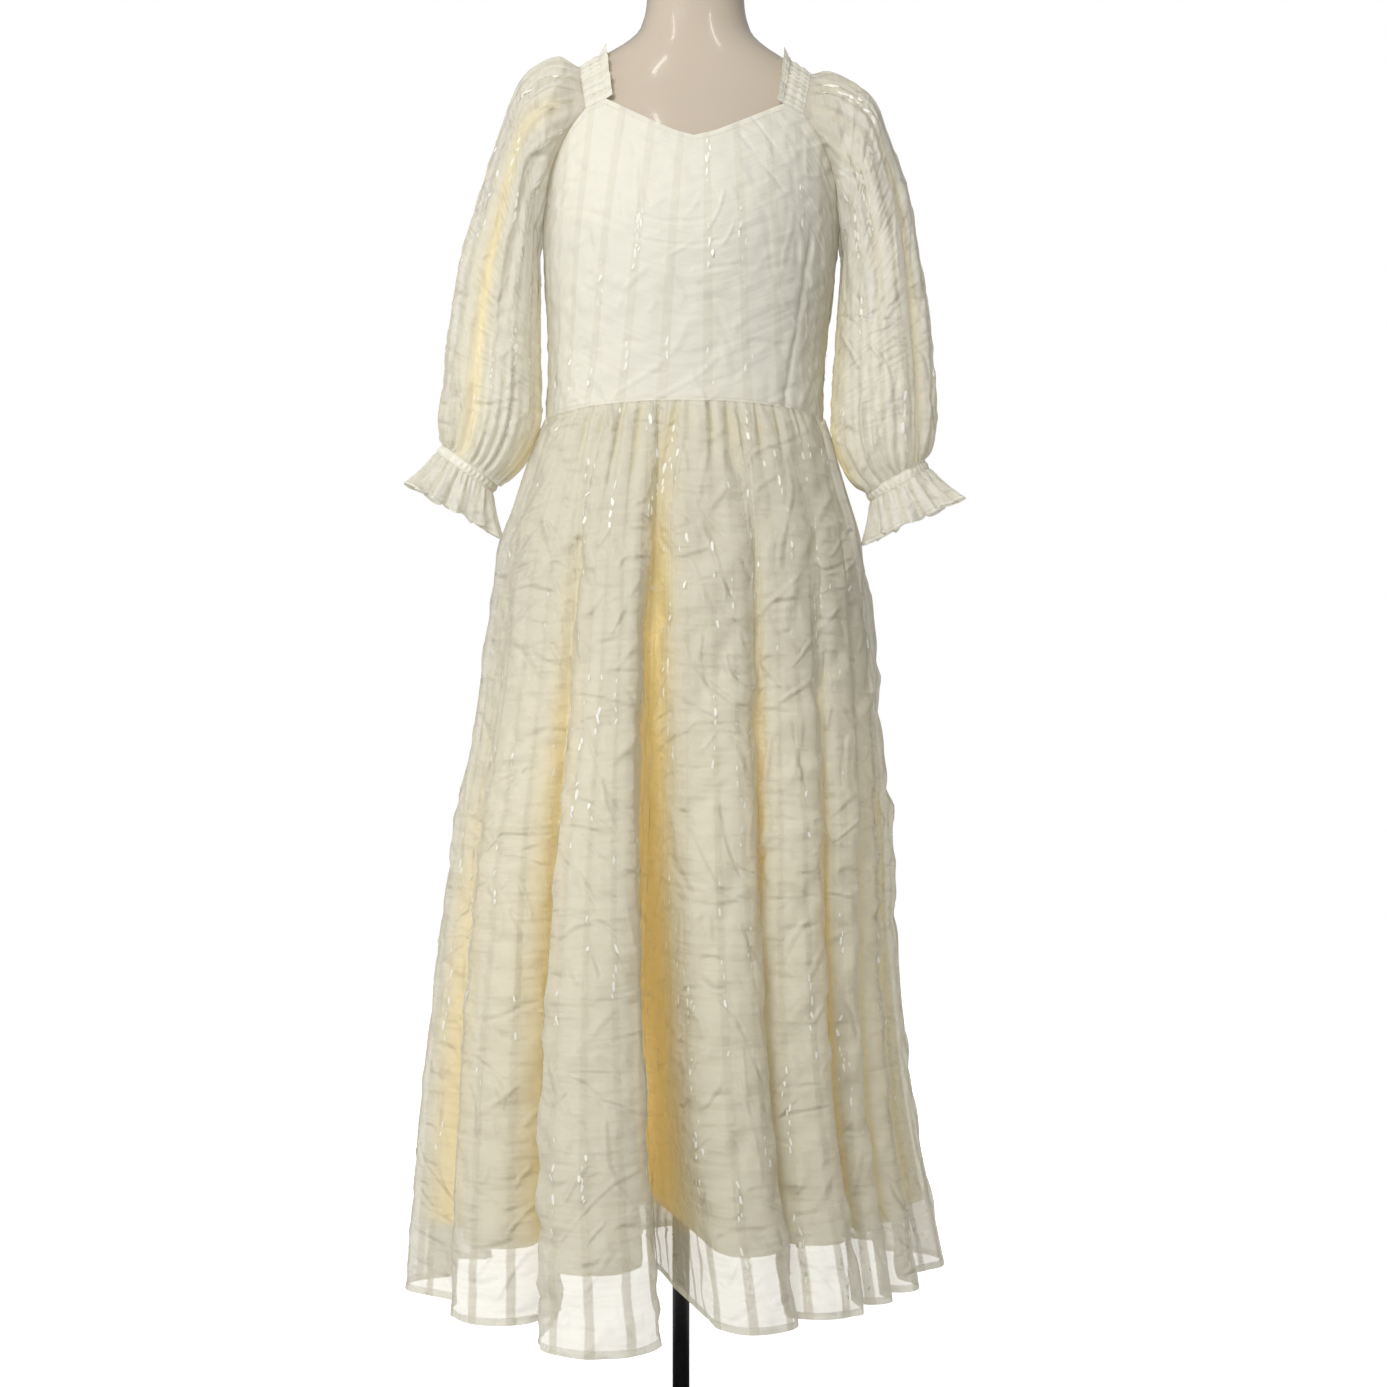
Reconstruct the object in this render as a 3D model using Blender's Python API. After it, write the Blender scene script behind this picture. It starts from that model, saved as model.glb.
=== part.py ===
"""A cream organza maxi dress standing on a limbless dress form with a pole and a round base.

Metres, +Z up. The origin is the centre of the base's underside. The front faces -Y, and the
viewer's right is +X. An angle round the body is 0 at the centre front, 90 degrees at +X and
180 degrees at the centre back. Each cloth piece starts as a grid of its outer points, worked out
from the tables below, and its wall's inner points lie the cloth's thickness behind them.
"""

import math
from collections import namedtuple

import bmesh
import bpy
import numpy as np

# Driving sizes
WALL = 0.0014
SEAM_GAP = 0.0003
WAIST_Z = 1.1145
WAIST_SIDE_DROP = 0.011
HEM_Z = 0.18
LINING_SHARE = 0.921
ROUNDNESS = 0.889
SHARPEST_BEND = 0.6

# The form and what carries it
FORM_BOTTOM_Z = 0.800
FORM_SEGMENTS = 24
BASE_RADIUS = 0.160
BASE_THICKNESS = 0.010
HUB_RADIUS = 0.024
HUB_TOP_Z = 0.040
POLE_RADIUS = 0.0092
FLANGE_RADIUS = 0.036
FLANGE_THICKNESS = 0.006

# How the upper body sways to +X with height, and how far its shoulders drop towards +X
Sway = namedtuple("Sway", "z shift")
SWAY = (
    Sway(0.800, 0.0000),
    Sway(0.950, 0.0010),
    Sway(1.115, 0.0043),
    Sway(1.280, 0.0100),
    Sway(1.450, 0.0150),
    Sway(1.600, 0.0158),
)
SHOULDER_TILT = 0.028
TILT_HEIGHT = 0.235

# Level sections of the form and of the bodice's outer surface
Section = namedtuple("Section", "z half_width front back")
FORM_SECTIONS = (
    Section(0.800, 0.1440, 0.0900, 0.1000),
    Section(0.812, 0.1540, 0.0970, 0.1080),
    Section(0.850, 0.1620, 0.1020, 0.1150),
    Section(0.920, 0.1660, 0.1050, 0.1180),
    Section(1.000, 0.1560, 0.1010, 0.1080),
    Section(1.060, 0.1400, 0.0960, 0.0960),
    Section(1.115, 0.1300, 0.0930, 0.0900),
    Section(1.150, 0.1320, 0.0960, 0.0920),
    Section(1.200, 0.1390, 0.1060, 0.0950),
    Section(1.250, 0.1470, 0.1190, 0.1010),
    Section(1.300, 0.1515, 0.1260, 0.1055),
    Section(1.350, 0.1540, 0.1190, 0.1110),
    Section(1.400, 0.1580, 0.0990, 0.1120),
    Section(1.430, 0.1600, 0.0830, 0.1050),
    Section(1.445, 0.1560, 0.0745, 0.0960),
    Section(1.460, 0.1450, 0.0670, 0.0860),
    Section(1.475, 0.1230, 0.0605, 0.0765),
    Section(1.490, 0.0985, 0.0555, 0.0690),
    Section(1.503, 0.0770, 0.0520, 0.0630),
    Section(1.515, 0.0630, 0.0495, 0.0585),
    Section(1.530, 0.0560, 0.0480, 0.0550),
    Section(1.560, 0.0515, 0.0480, 0.0520),
    Section(1.594, 0.0505, 0.0480, 0.0510),
    Section(1.600, 0.0470, 0.0445, 0.0475),
)
BODICE_SECTIONS = (
    Section(1.090, 0.1468, 0.1085, 0.1040),
    Section(1.115, 0.1465, 0.1080, 0.1035),
    Section(1.150, 0.1465, 0.1100, 0.1030),
    Section(1.200, 0.1490, 0.1170, 0.1040),
    Section(1.250, 0.1535, 0.1270, 0.1070),
    Section(1.300, 0.1570, 0.1320, 0.1110),
    Section(1.350, 0.1590, 0.1250, 0.1165),
    Section(1.400, 0.1630, 0.1050, 0.1175),
    Section(1.430, 0.1655, 0.0890, 0.1105),
    Section(1.450, 0.1655, 0.0780, 0.1000),
)

# Top edges of the bodice from its centre line out to the underarm: share of the half panel's
# columns, distance from the centre line, height. The band is sewn on between shares 0.56 and 0.66.
Edge = namedtuple("Edge", "share x z")
FRONT_EDGE = (
    Edge(0.00, 0.0000, 1.3860),
    Edge(0.14, 0.0220, 1.3925),
    Edge(0.28, 0.0450, 1.4035),
    Edge(0.56, 0.0920, 1.4285),
    Edge(0.66, 0.1130, 1.4190),
    Edge(0.78, 0.1350, 1.3880),
    Edge(0.89, 0.1505, 1.3500),
    Edge(0.96, 0.1565, 1.3200),
    Edge(1.00, 0.1700, 1.2970),
)
BACK_EDGE = (
    Edge(0.00, 0.0000, 1.4120),
    Edge(0.14, 0.0230, 1.4128),
    Edge(0.28, 0.0460, 1.4155),
    Edge(0.56, 0.0920, 1.4285),
    Edge(0.66, 0.1130, 1.4190),
    Edge(0.78, 0.1370, 1.3850),
    Edge(0.89, 0.1515, 1.3470),
    Edge(0.96, 0.1570, 1.3180),
    Edge(1.00, 0.1700, 1.2970),
)
BAND_FROM, BAND_TO = 0.56, 0.66
BAND_MIDDLE_X = 0.113
BODICE_SHARES = (0.0, 0.14, 0.28, 0.42, 0.56, 0.66, 0.72, 0.78, 0.84, 0.89, 0.925, 0.96, 1.0)
BODICE_ROWS = 9
BODICE_SIDE = len(BODICE_SHARES) - 1
BODICE_FRONT_COLUMN = BODICE_SIDE
BODICE_BACK_COLUMN = 3 * BODICE_SIDE

# Shoulder bands, over the form from the front corner to the back corner
BAND_CENTRE_Y, BAND_CENTRE_Z = 0.005, 1.380
FORM_REACH = (0.02, 0.16)
REACH_HALVINGS = 40
BAND_CLEAR = 0.0005
BAND_BOW = 0.010
BAND_END = 0.0016
BAND_COLUMNS = 37
FRILL_WIDTH = 0.007
FRILL_RISE = 0.0065
FRILL_WAVE = 0.0022
FRILL_WAVES = 9

# Sleeves: each ring's outer and inner point as seen from the front, its half depth and middle
Ring = namedtuple("Ring", "out_x out_z in_x in_z half_depth middle_y")
LEFT_SLEEVE = (
    Ring(-0.1360, 1.4880, -0.1500, 1.2940, 0.092, 0.004),
    Ring(-0.1700, 1.4640, -0.1520, 1.2820, 0.094, 0.003),
    Ring(-0.1915, 1.4150, -0.1510, 1.2550, 0.091, 0.001),
    Ring(-0.2150, 1.3460, -0.1505, 1.2200, 0.083, -0.002),
    Ring(-0.2345, 1.2820, -0.1500, 1.1820, 0.082, -0.006),
    Ring(-0.2470, 1.2130, -0.1490, 1.1420, 0.079, -0.010),
    Ring(-0.2545, 1.1420, -0.1500, 1.1060, 0.073, -0.014),
    Ring(-0.2580, 1.1050, -0.1560, 1.0820, 0.063, -0.017),
    Ring(-0.2555, 1.0860, -0.1740, 1.0530, 0.050, -0.019),
)
RIGHT_SLEEVE = (
    Ring(0.1640, 1.4720, 0.1710, 1.2880, 0.092, 0.004),
    Ring(0.2020, 1.4480, 0.1720, 1.2760, 0.094, 0.003),
    Ring(0.2200, 1.4080, 0.1700, 1.2500, 0.091, 0.001),
    Ring(0.2420, 1.3460, 0.1670, 1.2140, 0.083, -0.002),
    Ring(0.2540, 1.2780, 0.1640, 1.1740, 0.082, -0.006),
    Ring(0.2640, 1.2080, 0.1610, 1.1340, 0.079, -0.010),
    Ring(0.2700, 1.1300, 0.1600, 1.0960, 0.073, -0.014),
    Ring(0.2690, 1.0900, 0.1650, 1.0700, 0.063, -0.017),
    Ring(0.2640, 1.0700, 0.1790, 1.0420, 0.050, -0.019),
)
LEFT_CUFF = Ring(-0.2536, 1.0767, -0.1937, 1.0340, 0.0362, -0.020)
RIGHT_CUFF = Ring(0.2589, 1.0607, 0.1960, 1.0254, 0.0362, -0.020)
LEFT_RUFFLE_EDGE = Ring(-0.2868, 1.0329, -0.1969, 0.9815, 0.0540, -0.024)
RIGHT_RUFFLE_EDGE = Ring(0.2952, 1.0180, 0.2000, 0.9740, 0.0560, -0.024)
CUFF_WIDTH = 0.0100
CUFF_COLUMNS = 24
RUFFLE_WAVES = 14
RUFFLE_WAVE = 0.0065
RUFFLE_ROWS = 3
BAND_STEPS = 16
SLEEVE_FRONT_TURN = 100.0
HEAD_GATHER = 0.0045
CUFF_GATHER = 0.0030

# Long folds of the sleeves: the angle round the sleeve from the underarm forward, the reach of the
# fold over the sleeve's rings and its depth (a trough is positive)
Fold = namedtuple("Fold", "turn width first last depth")
LEFT_FOLDS = (
    Fold(128.0, 13.0, 1, 8, 0.013),
    Fold(96.0, 11.0, 0, 4, 0.007),
    Fold(215.0, 14.0, 1, 7, 0.011),
    Fold(262.0, 13.0, 2, 8, 0.008),
)
RIGHT_FOLDS = (
    Fold(146.0, 12.0, 3, 8, 0.013),
    Fold(88.0, 11.0, 0, 4, 0.009),
    Fold(118.0, 11.0, 0, 3, 0.006),
    Fold(222.0, 14.0, 1, 7, 0.011),
    Fold(268.0, 12.0, 2, 8, 0.007),
)

# Skirt: level sections by share of the length, and how much of the hem's folds each one has
SkirtSection = namedtuple("SkirtSection", "share centre_x half_width front back folds")
SKIRT_SECTIONS = (
    SkirtSection(0.00, 0.0043, 0.1465, 0.1080, 0.1035, 0.00),
    SkirtSection(0.07, 0.0020, 0.1650, 0.1220, 0.1280, 0.04),
    SkirtSection(0.14, 0.0005, 0.1840, 0.1340, 0.1480, 0.08),
    SkirtSection(0.23, -0.0010, 0.1970, 0.1480, 0.1650, 0.14),
    SkirtSection(0.35, -0.0045, 0.2080, 0.1600, 0.1800, 0.21),
    SkirtSection(0.44, -0.0085, 0.2180, 0.1690, 0.1900, 0.33),
    SkirtSection(0.62, -0.0145, 0.2290, 0.1830, 0.2080, 0.57),
    SkirtSection(0.81, -0.0140, 0.2430, 0.1950, 0.2270, 0.80),
    SkirtSection(1.00, -0.0040, 0.2620, 0.2050, 0.2450, 1.00),
)
SKIRT_SHARES = (0.0, 0.015, 0.04, 0.09, 0.16, 0.26, 0.39, 0.54, 0.73, LINING_SHARE, 1.0)
LINING_SHARES = (0.0, 0.04, 0.09, 0.16, 0.26, 0.39, 0.54, 0.73, LINING_SHARE)
LINING_TOP_INSET = WALL + SEAM_GAP
LINING_INSET = 0.0050
LINING_INSET_SHARE = 0.06

# The hem's lobes from the left side seam round the front: the crest's angle at the waist, its place
# and width at the hem, and the same for the valley after it
Lobe = namedtuple("Lobe", "crest_turn crest_x crest_y width valley_turn valley_x valley_y")
LOBES = (
    Lobe(-82.0, -0.285, 0.005, 0.060, -65.0, -0.230, -0.066),
    Lobe(-44.0, -0.192, -0.165, 0.084, -29.5, -0.122, -0.098),
    Lobe(-20.0, -0.079, -0.293, 0.104, -6.5, -0.030, 0.030),
    Lobe(8.0, 0.082, -0.205, 0.075, 19.7, 0.105, -0.075),
    Lobe(29.0, 0.152, -0.148, 0.068, 44.0, 0.180, -0.055),
    Lobe(53.0, 0.205, -0.080, 0.028, 60.0, 0.208, -0.033),
    Lobe(70.0, 0.241, -0.026, 0.034, 82.0, 0.230, 0.038),
    Lobe(95.0, 0.283, 0.130, 0.075, 110.0, 0.222, 0.165),
    Lobe(124.0, 0.205, 0.222, 0.075, 137.0, 0.130, 0.178),
    Lobe(150.0, 0.100, 0.285, 0.080, 165.0, 0.048, 0.192),
    Lobe(180.0, 0.000, 0.295, 0.080, 195.0, -0.052, 0.188),
    Lobe(210.0, -0.115, 0.276, 0.085, 224.0, -0.150, 0.168),
    Lobe(236.0, -0.212, 0.200, 0.075, 247.0, -0.212, 0.122),
    Lobe(256.0, -0.274, 0.088, 0.060, 266.0, -0.246, 0.046),
)

# Columns of a lobe, first the valley before it and then its tip: shares of the width across and back
# from the valley's or crest's place, and the share of the waist angle from there to the next one
Column = namedtuple("Column", "across back turn")
VALLEY = (
    Column(-0.5, 0.0, 0.14),
    Column(0.5, 0.0, 0.14),
)
TIP = (
    Column(-0.50, 0.30, 0.55),
    Column(-0.29, 0.08, 0.27),
    Column(0.00, 0.00, 0.0),
    Column(0.29, 0.08, 0.27),
    Column(0.50, 0.30, 0.55),
)
VALLEY_WIDTH = 0.016
COLUMNS_PER_LOBE = 7
FRONT_LOBES = 7
ZIP_COLUMN = 10 * COLUMNS_PER_LOBE + 4
DEEP_VALLEY_COLUMN = 3 * COLUMNS_PER_LOBE + 0.5
DEEP_VALLEY_LIFT = 0.011
GATHER_FRONT = 0.0045
GATHER_SIDE = 0.0018
GATHER_LENGTH = 0.17

# Hidden zip at the centre back
ZIP_HALF_WIDTH = 0.0017
ZIP_SINK = 0.0001
ZIP_WALL = 0.0012
ZIP_END_SHARE = 0.16
ZIP_TOP_DROP = 0.004
ZIP_BOTTOM_RISE = 0.003
SLIDER_DROP = 0.013
SLIDER_LENGTH = 0.0090
SLIDER_WIDTH = 0.0060
SLIDER_THICKNESS = 0.0018
BRIDGE_LENGTH = 0.0066
BRIDGE_WIDTH = 0.0018
BRIDGE_RISE = 0.0036
BRIDGE_BAR = 0.0009
BRIDGE_SINK = 0.0005
SLIDER_LIFT = 0.0004
HINGE_RISE = 0.0013
TAB_THICKNESS = 0.0010
TAB_LENGTH = 0.0210
TAB_WIDTH = 0.0056
TAB_SIDE = 0.0013
TAB_WINDOW = 0.0060


def ease(x):
    """Smooth step from 0 to 1 as x goes from 0 to 1."""
    x = np.clip(x, 0.0, 1.0)
    return x * x * (3.0 - 2.0 * x)


def smooth_rows(x, rows):
    """The table's other columns at x, by cubics whose slopes come from the neighbouring rows."""
    table = np.array(rows, dtype=float)
    knots, values = table[:, 0], table[:, 1:]
    slopes = np.gradient(values, knots, axis=0)
    x = np.clip(np.asarray(x, dtype=float), knots[0], knots[-1])
    row = np.clip(np.searchsorted(knots, x, side="right") - 1, 0, len(knots) - 2)
    step = (knots[row + 1] - knots[row])[..., None]
    s = (x - knots[row])[..., None] / step
    from_start = values[row] * (1 + 2 * s) * (1 - s) ** 2 + slopes[row] * step * s * (1 - s) ** 2
    from_end = values[row + 1] * s * s * (3 - 2 * s) + slopes[row + 1] * step * s * s * (s - 1)
    return from_start + from_end


def ring_point(half_width, front, back, turn):
    """Superellipse: x = half_width sin^p, y = -front cos^p ahead and back |cos|^p behind."""
    sine, cosine = np.sin(turn), np.cos(turn)
    depth = np.where(cosine > 0, front, back)
    x = half_width * np.sign(sine) * np.abs(sine) ** ROUNDNESS
    y = -depth * np.sign(cosine) * np.abs(cosine) ** ROUNDNESS
    return x, y


def body_surface(sections, turn, z):
    """Point of a body whose level sections are the table's superellipses."""
    half_width, front, back = np.moveaxis(smooth_rows(z, sections), -1, 0)
    x, y = ring_point(half_width, front, back, turn)
    return np.stack(np.broadcast_arrays(x, y, z), axis=-1)


def lean(points):
    """Shift to +X by the sway at each height, and lower by the tilt times the distance to +X."""
    x, y, z = np.moveaxis(np.asarray(points, dtype=float), -1, 0)
    shift = smooth_rows(z, SWAY)[..., 0]
    tilt = SHOULDER_TILT * ease((z - WAIST_Z) / TILT_HEIGHT)
    return np.stack([x + shift, y, z - x * tilt], axis=-1)


def waist_height(turn):
    """The waist seam is highest at the centre front and back and drops to the sides."""
    return WAIST_Z - WAIST_SIDE_DROP * np.sin(turn) ** 2


def material(name, colour, roughness, metallic=0.0):
    """Principled material with one colour."""
    made = bpy.data.materials.new(name)
    made.use_nodes = True
    shader = made.node_tree.nodes["Principled BSDF"]
    shader.inputs["Base Color"].default_value = (*colour, 1.0)
    shader.inputs["Roughness"].default_value = roughness
    shader.inputs["Metallic"].default_value = metallic
    return made


def add_object(name, mesh, finish):
    """Object for a finished mesh, with its material."""
    mesh.materials.append(finish)
    piece = bpy.data.objects.new(name, mesh)
    bpy.context.scene.collection.objects.link(piece)
    return piece


def grid_faces(rows, columns, closed):
    """Triangles of a grid whose points run row by row, all split along the same diagonal."""
    across = columns if closed else columns - 1
    faces = []
    for row in range(rows - 1):
        for column in range(across):
            after = (column + 1) % columns
            low, low_after = row * columns + column, row * columns + after
            faces.append((low, low_after, low_after + columns))
            faces.append((low, low_after + columns, low + columns))
    return faces


def middle_direction(points, axis, closed):
    """Mean of the unit directions of the two steps that meet at each point along an axis.

    Its length is the cosine of half the bend there.
    """
    ahead = np.roll(points, -1, axis=axis) - points if closed else np.diff(points, axis=axis)
    ahead = ahead / np.linalg.norm(ahead, axis=-1, keepdims=True)
    if closed:
        return (ahead + np.roll(ahead, 1, axis=axis)) / 2
    first, last = np.take(ahead, [0], axis=axis), np.take(ahead, [-1], axis=axis)
    return (np.concatenate([first, ahead], axis=axis) + np.concatenate([ahead, last], axis=axis)) / 2


def wall_inside(points, closed, wall=WALL, inside=None):
    """Inner points of a wall: each outer point moved back along the grid's normal.

    The normal is the cross product of the middle directions along the columns and the rows, and it
    is turned to point away from the inside point, which is the grid's middle unless given. A bend
    moves the point further, by one over the cosine of half the bend, so that the wall keeps its
    thickness.
    """
    across = middle_direction(points, 1, closed)
    up = middle_direction(points, 0, False)
    normal = np.cross(across, up)
    normal = normal / np.linalg.norm(normal, axis=-1, keepdims=True)
    centre = points.reshape(-1, 3).mean(axis=0) if inside is None else np.array(inside)
    if np.sum(normal * (points - centre)) < 0:
        normal = -normal
    bend = np.linalg.norm(across, axis=-1) * np.linalg.norm(up, axis=-1)
    return points - normal * wall / np.maximum(bend, SHARPEST_BEND)[..., None]


def cloth_wall(name, outer, inner, finish, closed=False):
    """Solid wall between two grids of points, with its rims closed."""
    rows, columns = outer.shape[:2]
    size = rows * columns
    sheet = grid_faces(rows, columns, closed)
    faces = sheet + [tuple(size + corner for corner in reversed(face)) for face in sheet]
    rims = [[row * columns + column for column in range(columns)] for row in (0, rows - 1)]
    if closed:
        rims = [rim + rim[:1] for rim in rims]
    else:
        rims += [[row * columns + column for row in range(rows)] for column in (0, columns - 1)]
    for rim in rims:
        faces += [(a, b, size + b, size + a) for a, b in zip(rim, rim[1:])]
    shape = bmesh.new()
    points = [shape.verts.new(point) for point in np.concatenate([outer, inner]).reshape(-1, 3)]
    for face in faces:
        shape.faces.new([points[corner] for corner in face])
    bmesh.ops.recalc_face_normals(shape, faces=shape.faces)
    mesh = bpy.data.meshes.new(name)
    shape.to_mesh(mesh)
    shape.free()
    mesh.shade_smooth()
    mesh.set_sharp_from_angle(angle=math.radians(60))
    return add_object(name, mesh, finish)


def lofted_solid(name, points, finish):
    """Closed solid through rings that run up, with a flat cap at each end."""
    rows, columns = points.shape[:2]
    faces = grid_faces(rows, columns, True)
    faces.append(tuple(reversed(range(columns))))
    faces.append(tuple(range((rows - 1) * columns, rows * columns)))
    mesh = bpy.data.meshes.new(name)
    mesh.from_pydata(points.reshape(-1, 3).tolist(), [], faces)
    mesh.shade_smooth()
    mesh.set_sharp_from_angle(angle=math.radians(40))
    return add_object(name, mesh, finish)


def turned_solid(name, profile, finish, segments):
    """Solid of revolution about Z from a profile of (radius, height) that starts and ends on Z."""
    shape = bmesh.new()
    points = [shape.verts.new((radius, 0.0, height)) for radius, height in profile]
    edges = [shape.edges.new(pair) for pair in zip(points, points[1:])]
    bmesh.ops.spin(shape, geom=points + edges, cent=(0, 0, 0), axis=(0, 0, 1),
                   angle=2 * math.pi, steps=segments, use_merge=True)
    bmesh.ops.remove_doubles(shape, verts=shape.verts, dist=0.00001)
    bmesh.ops.recalc_face_normals(shape, faces=shape.faces)
    mesh = bpy.data.meshes.new(name)
    shape.to_mesh(mesh)
    shape.free()
    mesh.shade_smooth()
    mesh.set_sharp_from_angle(angle=math.radians(40))
    return add_object(name, mesh, finish)


def outline_solid(name, outer, hole, thickness, finish):
    """Plate in the XZ plane, thick along Y, from an outline and a hole with as many points."""
    shape = bmesh.new()
    low, low_hole, high, high_hole = [
        [shape.verts.new((x, y, z)) for x, z in outline]
        for y in (-thickness / 2, thickness / 2) for outline in (outer, hole)]
    for i in range(len(outer)):
        after = (i + 1) % len(outer)
        shape.faces.new((low[i], low[after], high[after], high[i]))
        shape.faces.new((low_hole[i], high_hole[i], high_hole[after], low_hole[after]))
        shape.faces.new((low[i], low_hole[i], low_hole[after], low[after]))
        shape.faces.new((high[i], high[after], high_hole[after], high_hole[i]))
    bmesh.ops.recalc_face_normals(shape, faces=shape.faces)
    mesh = bpy.data.meshes.new(name)
    shape.to_mesh(mesh)
    shape.free()
    return add_object(name, mesh, finish)


def build_form(finish):
    """The torso: level sections lofted from the flat bottom to the neck's flat top."""
    heights = np.array([section.z for section in FORM_SECTIONS])[:, None]
    turns = np.arange(FORM_SEGMENTS)[None, :] * (2 * math.pi / FORM_SEGMENTS)
    return lofted_solid("form_torso", lean(body_surface(FORM_SECTIONS, turns, heights)), finish)


def build_stand(finish):
    """Round base with a hub, and a pole with a flange under the form."""
    base = [(0.0, 0.0), (BASE_RADIUS - 0.002, 0.0), (BASE_RADIUS, 0.002),
            (BASE_RADIUS, BASE_THICKNESS - 0.003), (BASE_RADIUS - 0.004, BASE_THICKNESS),
            (HUB_RADIUS + 0.004, BASE_THICKNESS), (HUB_RADIUS, BASE_THICKNESS + 0.004),
            (HUB_RADIUS - 0.004, HUB_TOP_Z), (0.0, HUB_TOP_Z)]
    turned_solid("stand_base", base, finish, 32)
    top = FORM_BOTTOM_Z - SEAM_GAP
    pole = [(0.0, HUB_TOP_Z + SEAM_GAP), (POLE_RADIUS, HUB_TOP_Z + SEAM_GAP),
            (POLE_RADIUS, top - 3 * FLANGE_THICKNESS), (2 * POLE_RADIUS, top - FLANGE_THICKNESS),
            (FLANGE_RADIUS, top - FLANGE_THICKNESS), (FLANGE_RADIUS, top), (0.0, top)]
    turned_solid("stand_pole", pole, finish, 16)


def trimmed(points, first, last, gaps):
    """Columns first to last of a ring, its two edges drawn in by the gaps, also row by row."""
    part = points[:, np.arange(first, last + 1) % points.shape[1]].copy()
    for edge, beside, gap in ((0, 1, gaps[0]), (-1, -2, gaps[1])):
        step = part[:, beside] - part[:, edge]
        length = np.linalg.norm(step, axis=-1, keepdims=True)
        part[:, edge] = part[:, edge] + step / length * np.reshape(gap, (-1, 1))
    return part


def turn_at(x, z):
    """Angle at which the bodice's section at height z reaches x."""
    half_width = smooth_rows(z, BODICE_SECTIONS)[..., 0]
    return np.arcsin(np.clip(x / half_width, 0.0, 1.0) ** (1.0 / ROUNDNESS))


def bodice_half(edge, shares, first_turn, direction):
    """Columns from the waist up to the top edge, from a centre line out to the side seam."""
    edge_share, edge_x, edge_z = np.array(edge).T
    x = np.interp(shares, edge_share, edge_x)
    top_z = np.interp(shares, edge_share, edge_z)
    waist_turn = first_turn + direction * np.asarray(shares) * math.pi / 2
    top_turn = first_turn + direction * turn_at(x, top_z)
    up = np.linspace(0.0, 1.0, BODICE_ROWS)[:, None]
    bottom_z = waist_height(waist_turn) + SEAM_GAP / 2
    turn = waist_turn * (1 - up) + top_turn * up
    z = bottom_z * (1 - up) + top_z * up
    return body_surface(BODICE_SECTIONS, turn, z)


def bodice_points():
    """The whole bodice as one ring of columns, from the left side seam round the front."""
    shares = np.array(BODICE_SHARES)
    left = bodice_half(FRONT_EDGE, shares, 0.0, -1.0)
    right = bodice_half(FRONT_EDGE, shares, 0.0, 1.0)
    back_right = bodice_half(BACK_EDGE, shares, math.pi, -1.0)
    back_left = bodice_half(BACK_EDGE, shares, math.pi, 1.0)
    ring = [left[:, ::-1], right[:, 1:], back_right[:, ::-1][:, 1:], back_left[:, 1:-1]]
    return lean(np.concatenate(ring, axis=1))


def build_bodice(finish):
    """Front panel, and two back panels beside the zip."""
    outer = bodice_points()
    inner = wall_inside(outer, True)
    right_seam, whole = 2 * BODICE_SIDE, 4 * BODICE_SIDE
    seam = SEAM_GAP / 2
    beside_zip = ZIP_HALF_WIDTH + SEAM_GAP
    for name, first, last, gaps in (
            ("bodice_front", 0, right_seam, (seam, seam)),
            ("bodice_back_right", right_seam, BODICE_BACK_COLUMN, (seam, beside_zip)),
            ("bodice_back_left", BODICE_BACK_COLUMN, whole, (beside_zip, seam))):
        panel = [trimmed(points, first, last, gaps) for points in (outer, inner)]
        cloth_wall(name, *panel, finish)


def form_radius(x, angle):
    """Distance from the band's centre line to the form, leaning by angle from the vertical to +Y.

    The form's surface lies between the two radii of FORM_REACH, which are halved towards it.
    """
    near, far = [np.full(np.broadcast(x, angle).shape, reach) for reach in FORM_REACH]
    for _ in range(REACH_HALVINGS):
        middle = (near + far) / 2
        y = BAND_CENTRE_Y + middle * np.sin(angle)
        z = BAND_CENTRE_Z + middle * np.cos(angle)
        half_width, front, back = np.moveaxis(smooth_rows(z, FORM_SECTIONS), -1, 0)
        depth = np.where(y < 0, front, back)
        power = 2.0 / ROUNDNESS
        inside = np.abs(x / half_width) ** power + np.abs(y / depth) ** power < 1.0
        near, far = np.where(inside, middle, near), np.where(inside, far, middle)
    return (near + far) / 2


def band_surface(across, along):
    """Outer surface of the band: across 0 at the neck side to 1 at the sleeve, along 0 front to 1."""
    ends = []
    for edge, behind in ((FRONT_EDGE, False), (BACK_EDGE, True)):
        edge_share, edge_x, edge_z = np.array(edge).T
        share = BAND_FROM + (BAND_TO - BAND_FROM) * np.clip(across, 0.0, 1.0)
        x, z = np.interp(share, edge_share, edge_x), np.interp(share, edge_share, edge_z)
        turn = math.pi - turn_at(x, z) if behind else turn_at(x, z)
        point = body_surface(BODICE_SECTIONS, turn, z)
        y = point[..., 1]
        angle = np.arctan2(y - BAND_CENTRE_Y, z - BAND_CENTRE_Z)
        radius = np.hypot(y - BAND_CENTRE_Y, z - BAND_CENTRE_Z)
        ends.append((x, angle, radius - form_radius(x, angle)))
    (x0, angle0, off0), (x1, angle1, off1) = ends
    x = x0 + (x1 - x0) * along + BAND_BOW * np.sin(math.pi * along)
    x = x - FRILL_WIDTH * np.clip(-across, 0.0, 1.0)
    angle = angle0 + (angle1 - angle0) * along
    rest = BAND_CLEAR + WALL
    end_off = np.where(along < 0.5, off0, off1)
    off = rest + (end_off - rest) * np.abs(2 * along - 1) ** 6
    radius = form_radius(x, angle) + off
    return x, angle, radius


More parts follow.
